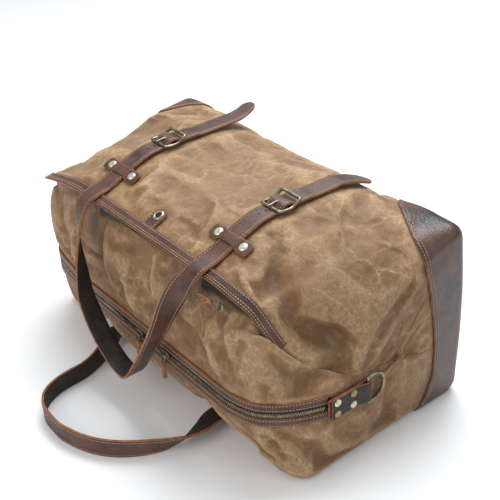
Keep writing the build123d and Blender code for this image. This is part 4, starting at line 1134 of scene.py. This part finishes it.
def make_pocket_pull():
    def at(a, b, c):
        return PULL_PIN + (np.array((1, 0, 0)) * a + GUSSET_UP * b + GUSSET_OUT * c) * MM

    outline = rounded_rectangle(9.5, 7, 2.5)
    face = plate("pocket_slider_plate", outline, at(2, 0, -2.6), (1, 0, 0), GUSSET_UP, -0.8, 0.9, [BRASS], 0.4)
    settle(face, "pocket_slider", "brass", "pocket_zip_slider")
    bridge = [at(0, -3.9, -2), at(0, -3.4, 0.4), at(0, 0, 0.9), at(0, 3.4, 0.4), at(0, 3.9, -2)]
    wire("pocket_slider_bridge", "pocket_slider", bridge, 0.7)
    ring = ((0.9, 0), (0, 2.6), (-4, 2.9), (-9.5, 2.2), (-12, 0), (-9.5, -2.2), (-4, -2.9), (0, -2.6))
    wire("pocket_pull_ring", "pocket_pull", [at(*p, 0) for p in ring], 0.8, "pocket_zip_pull", closed=True)
    for name, points in (
        ("upper", ((-10.5, 0.4, 0.6), (-18, 1.8, 1.6), (-26, 1.4, 2.0), (-34, -0.8, 1.4))),
        ("lower", ((-10.5, -0.6, -0.3), (-16, -1.8, 0.4), (-22, -5.2, 1.2), (-29, -10.5, 1.6))),
    ):
        points = [at(*p) for p in points]
        lace("pocket_thong_" + name, "pocket_pull", points, GUSSET_UP, 3.0, 1.8, "pocket_zip_thong")


# ---------------------------------------------------------------- handles

STRAP_X = 106
STRAP_WIDE = 25 * MM
STRAP_THICK = 3 * MM
# (y, z) of each strap's middle, from its tail to the buckle's bar
TAILS = {
    -1: [(104, 262), (96, 259.5), (86, 255.5), (72, 253), (50, 252.9)],
    1: [(104, 233.5), (88, 241), (70, 248), (51, 252.6)],
}
# The same from the buckle's bar, under the keeper, to the pocket's edge
STRAP_RUN = [(13, 252.7), (4, 254.3), (-18, 254.4), (-27, 258.8), (-33, 258.8), (-42, 252.8), (-56, 252.5),
             (-85, 244.5), (-108, 234.5), (-126, 227), (-134, 225.4), (-148, 222)]
# (x, y, z) of the handles' middles, and the angle in degrees by which the strap has turned there
FRONT_LOOP = [
    (-105.6, -158, 215, 6), (-101, -168, 198, 18), (-95, -176, 170, 36), (-86, -182, 138, 58),
    (-72, -187, 105, 76), (-50, -187, 73, 88), (-24, -187, 52, 90), (-4, -187, 45, 90), (8, -187, 44, 90),
    (19, -187, 51, 90), (38, -186, 78, 90), (60, -183, 115, 95), (79, -179, 152, 106), (93, -174, 184, 126),
    (102, -167, 204, 150), (105.6, -158, 215, 172),
]
BACK_LOOP = [
    (-106, -118, 3.8, 0), (-106, -127, 12.8, 0), (-106, -132, 14, 0), (-105.6, -141, 13.5, 8),
    (-99, -153, 13.2, 35), (-88, -166, 12.8, 65), (-76, -186, 12.6, 85), (-68, -210, 12.6, 90),
    (-66, -236, 12.6, 90), (-60, -258, 12.6, 90), (-46, -276, 12.6, 90), (-24, -285, 12.6, 90),
    (2, -286, 12.6, 90), (30, -280, 12.6, 90), (56, -268, 12.6, 90), (78, -250, 12.6, 92),
    (96, -226, 12.7, 100), (109, -200, 12.8, 118), (114, -176, 13.2, 142), (111, -156, 13.5, 162),
    (106.4, -141, 13.8, 174), (106, -132, 14, 180), (106, -127, 12.8, 180), (106, -118, 3.8, 180),
]
EDGE_ROWS = (-9.6 * MM, 9.6 * MM)
# Where each handle bends: the canvas side and the handle's side of its hinge
FRONT_HINGE = ((0, -0.144, 0.2240), (0, -0.156, 0.2168))
BACK_HINGE = ((0, -0.127, 0.0128), (0, -0.137, 0.0138))


def handle_strap(which, route, across, hinge, *end_nodes, **more):
    """A handle strap, baked in place and on no body. across gives the strap's direction at a turn. hinge is not
    used.
    """
    turn = np.radians([p[3] for p in route])
    points = np.array([p[:3] for p in route]) * MM
    piece = strap(
        which + "_strap", points, across(turn), STRAP_WIDE, STRAP_THICK, STRAP_FINISH, EDGE_ROWS, **more,
    )
    handle = which + "_handle"
    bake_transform(piece)
    settle(piece, None, "leather", handle, *end_nodes)


def make_handles():
    left = [(-STRAP_X, y, z, 0) for y, z in TAILS[-1] + STRAP_RUN]
    right = [(STRAP_X, y, z, 180) for y, z in (TAILS[1] + STRAP_RUN)[::-1]]
    route = left + FRONT_LOOP + right
    total = distances(np.array([p[:3] for p in route]) * MM)[-1]

    def pointed(t):
        near = min(t, 1 - t) * total
        return STRAP_WIDE * (0.32 + 0.5 * min(1.0, near / (9 * MM)) ** 0.6 + 0.18 * min(1.0, near / (34 * MM)))

    handle_strap(
        "front", route, lambda turn: np.column_stack([np.cos(turn), -np.sin(turn), turn * 0]), FRONT_HINGE,
        "handle_end_left", "handle_end_right", widths=pointed,
    )
    handle_strap(
        "back", BACK_LOOP, lambda turn: np.column_stack([-np.cos(turn), turn * 0, np.sin(turn)]), BACK_HINGE,
        "back_handle_end_left", "back_handle_end_right",
    )


# ---------------------------------------------------------------- buckles, keepers, eyelet tab

FRONT_TOP = 250.9
BUCKLE_Y = -30
SLOPE_TOP = np.array((-84, 241))
SLOPE_DOWN = unit((-61, -27))
SLOPE_OUT = np.array((SLOPE_DOWN[1], -SLOPE_DOWN[0]))
UP_SLOPE = np.array((0, *-SLOPE_DOWN))
OUT_SLOPE = np.array((0, *SLOPE_OUT))
PANEL_THICK = 1.9


def on_slope(x, down, rise):
    """A point a distance down the sloping front and a height above the pocket panel, in metres."""
    y, z = SLOPE_TOP + SLOPE_DOWN * down + SLOPE_OUT * (rise + PANEL_THICK)
    return np.array((x, y, z)) * MM


# One half of the buckle's frame, from the middle of its near bar to the middle of its far bar
BUCKLE_HALF = (
    (12.4, -14.5, 4.8), (14.6, -14.2, 4.8), (15.4, -12, 4.4), (15.5, 0, 3.6), (15.4, 12, 8.6),
    (15.0, 14.6, 9.8), (13, 15.2, 10.2),
)
PRONG = ((0, 1.6, 4.6), (0, -0.4, 6.5), (0, -4, 8.6), (0, -10, 8.3), (0, -15, 7.7), (0, -17.4, 7.2))
CHAPE = ((36, 0.9), (20, 0.9), (5, 0.9), (0, 0.7), (-3, 1.7), (-3.2, 4.6), (-0.5, 5.6))


def make_buckle(side, x):
    def at(a, b, c):
        return np.array((x + a, BUCKLE_Y + b, FRONT_TOP + c)) * MM

    near_bar, far_bar = [at(0, -14.5, 4.8)], [at(0, 15.2, 10.2)]
    outline = near_bar + [at(-a, b, c) for a, b, c in BUCKLE_HALF] + far_bar
    outline += [at(*p) for p in BUCKLE_HALF[::-1]]
    wire(f"buckle_frame_{side}", "bag", outline, 1.9, f"buckle_{side}", closed=True, sides=16)
    wire(f"buckle_bar_{side}", "bag", [at(a, 0, 3.3) for a in (-15, 0, 15)], 1.45)
    wire(f"prong_pin_{side}", f"prong_{side}", [at(*p) for p in PRONG], 1.15, f"buckle_prong_{side}")
    points = [at(0, b, c) for b, c in CHAPE]
    chape = strap(f"chape_leather_{side}", points, (1, 0, 0), 22 * MM, 1.5 * MM, STRAP_FINISH)
    settle(chape, "bag", "leather", f"chape_{side}")


def make_punch_holes(side, x):
    """Small holes along the strap between the keeper and the buckle: each is a near-black disc of painted
    shade.
    """
    for number, (y, z, tilt) in enumerate(((-51, 252.9, 2), (-60, 252.0, 12), (-69, 249.6, 17))):
        axis = (0, -math.sin(math.radians(tilt)), math.cos(math.radians(tilt)))
        place = np.array((x, y, z)) * MM
        profile = [(1.25, 1.3), (1.25, 1.78)]
        hole = turned_piece(f"punch_hole_{side}_{number}", place, axis, profile, HOLE_SHADE, sides=18)
        settle(hole, "bag", "leather")


KEEPER_DOWN = 15.5
KEEPER_HALF = [(0, 4.7), (9, 4.6), (13.5, 3.9), (17, 1.5), (24, 1.2), (32, 1.2)]
KEEPER_RISES = [(-a, rise) for a, rise in KEEPER_HALF[:0:-1]] + KEEPER_HALF
KEEPER_LONG, KEEPER_WIDE = 66, 17


def make_keeper(side, x):
    points = [on_slope(x + a, KEEPER_DOWN, rise) for a, rise in KEEPER_RISES]

    def dog_bone(t):
        from_end = min(t, 1 - t) * KEEPER_LONG
        corner_cut = 4 - math.sqrt(max(0.0, 16 - max(0.0, 4 - from_end) ** 2))
        wide = KEEPER_WIDE - 2 * max(0.0, corner_cut)
        return (wide - 4.5 * float(soft_step(15, 23, from_end))) * MM

    keeper = strap(
        f"keeper_leather_{side}", points, UP_SLOPE, KEEPER_WIDE * MM, 2 * MM, STRAP_FINISH,
        step=1.2 * MM, widths=dog_bone,
    )
    settle(keeper, "bag", "leather", f"keeper_{side}")
    for letter, mark in (("a", -1), ("b", 1)):
        place = on_slope(x + mark * 21, KEEPER_DOWN, 2.2)
        name, node = f"keeper_rivet_{side}_{letter}", f"keeper_rivets_{side}"
        rivet(name, place, OUT_SLOPE, 5.6, 1.9, PALE_BRASS, node)


def rivet(name, origin, axis, radius, dome, material, node):
    """A domed rivet head with a small rolled rim."""
    profile = [(radius * 0.96, -0.6), (radius, 0.1), (radius * 0.97, 0.55), (radius * 0.86, dome * 0.52)]
    profile += [(radius * c, dome * (0.42 + 0.58 * s)) for c, s in arc(1, (40, 55, 70, 82))]
    settle(turned_piece(name, origin, axis, profile, material), "bag", "pale_brass", node)


EYELET_DOWN = 37.7
TAB_HALF, TAB_FOOT = 9.75, -19.4
EYELET_PROFILE = [(3.9, 1.6), (3.75, 2.3), (3.8, 3.1), (4.4, 3.6), (5.6, 3.55), (6.7, 3.0), (7.0, 2.3)]


def make_eyelet_tab():
    centre = on_slope(0, EYELET_DOWN, 0.3)
    outline = [(-TAB_HALF, TAB_FOOT), (TAB_HALF, TAB_FOOT)] + arc(TAB_HALF, range(0, 181, 15))
    tab = plate("eyelet_tab_leather", outline, centre, (1, 0, 0), UP_SLOPE, 0, 2.2, [LEATHER, EDGE], 0.5)
    settle(tab, "bag", "leather", "eyelet_tab")
    inner = TAB_HALF - 2
    path = [(-inner, -18)] + arc(inner, range(180, -1, -15)) + [(inner, -18)]
    line = [centre + (np.array((1, 0, 0)) * a + UP_SLOPE * b + OUT_SLOPE * 2.3) * MM for a, b in path]
    line = resampled(line, 1.5 * MM)
    out = np.tile(OUT_SLOPE, (len(line), 1))
    settle_stitches("eyelet_tab_stitches", "leather", *stitch_row(line, out))
    ring = turned_piece("eyelet_ring", centre, OUT_SLOPE, EYELET_PROFILE, EYELET_BRASS)
    settle(ring, "bag", "brass", "eyelet")
    # The eyelet's hole is a near-black disc of painted shade
    hole = turned_piece("eyelet_hole", centre, OUT_SLOPE, [(3.9, 2.25), (3.9, 2.45)], HOLE_SHADE)
    settle(hole, "bag", "leather")


def make_end_seam(shape):
    """The stitched join that runs over the right end panel from the zip's tab to the corner cap."""
    columns, rows = shape.shape[:2]
    tree = BVHTree.FromPolygons([tuple(p) for p in shape.reshape(-1, 3)], grid_faces(columns, rows))
    line, out = [], []
    for t in np.linspace(0, 1, 110):
        start = Vector((0.32, (-30 + 92 * t) * MM, (107 - 17 * t + 4 * math.sin(math.pi * t)) * MM))
        place, normal, _, _ = tree.ray_cast(start, Vector((-1, 0, 0)))
        line.append(np.array(place) + (0.2 * MM, 0, 0))
        out.append(np.array(normal) * (1 if normal.x > 0 else -1))
    line, out = np.array(line), np.array(out)
    # Painted shade: the seam's groove is a thin dark tube along it
    groove = tube("end_seam_groove", line - (0.1 * MM, 0, 0), 0.5 * MM, FLESH, step=None, sides=6)
    settle(groove, "bag", "canvas")
    stitches = stitch_row(line, out, pitch=3.2 * MM, long=2.3 * MM, wide=0.8 * MM)
    settle_stitches("end_seam_stitches", "canvas", *stitches)


# ---------------------------------------------------------------- end tabs and D-rings

# y and height over the end panel: out along the zip, round the D-ring's bar and back over itself
END_TAB = [
    (-91, 3.8), (-84, 4.0), (-70, 4.2), (-54, 4.2), (-45, 4.3), (-38, 4.6), (-34.4, 6.2), (-34.2, 8.2),
    (-37, 10.0), (-42, 9.0), (-49, 6.7), (-60, 6.3), (-88, 6.2),
]
RING_RISE, RING_HALF = 6.8, 17.6


def make_end_tab(side, sign):
    def at(y, rise, z=0.0):
        return np.array((sign * (SHELL_ENDS + rise), y, ZIP_Z + z)) * MM

    points = [at(y, rise) for y, rise in END_TAB]
    tab = strap(f"end_tab_leather_{side}", points, (0, 0, sign), 26 * MM, 2 * MM, STRAP_FINISH, step=1.5 * MM)
    settle(tab, "bag", "leather", f"end_tab_{side}")
    rivets = (
        (-81, -7.5, OLIVE_BRASS), (-81, 7.5, PALE_BRASS), (-58, -7.5, PALE_BRASS), (-58, 7.5, OLIVE_BRASS),
    )
    for number, (y, z, material) in enumerate(rivets, 1):
        name, node = f"end_rivet_{side}_{number}", f"end_tab_rivets_{side}"
        rivet(name, at(y, 7.4, z), (sign, 0, 0), 4.6, 1.7, material, node)
    loop = [(-37, -12), (-37, 0), (-37, 12), (-36.4, 16.6), (-34, RING_HALF)]
    loop += [(-29 + 16.4 * c, RING_HALF * s) for c, s in arc(1, (84, 60, 36, 12, -12, -36, -60, -84))]
    loop += [(-34, -RING_HALF), (-36.4, -16.6)]
    points = [at(y, RING_RISE, z) for y, z in loop]
    ring = f"d_ring_{side}"
    wire(f"d_ring_wire_{side}", ring, points, 2.0, ring, closed=True, sides=18)


make_camera()
make_studio()
shape, grid, rows = make_shell()
for sign, side in ((-1, "left"), (1, "right")):
    make_cap(sign, f"corner_cap_{side}", shape, grid)
    make_buckle(side, sign * STRAP_X)
    make_punch_holes(side, sign * STRAP_X)
    make_keeper(side, sign * STRAP_X)
    make_end_tab(side, sign)
zip_line = make_zip(shape, rows)
make_slider("left", 4, zip_line)
make_slider("right", 56, zip_line)
make_pocket_edge(shape, rows)
make_pocket_pull()
make_eyelet_tab()
make_end_seam(shape)
make_handles()
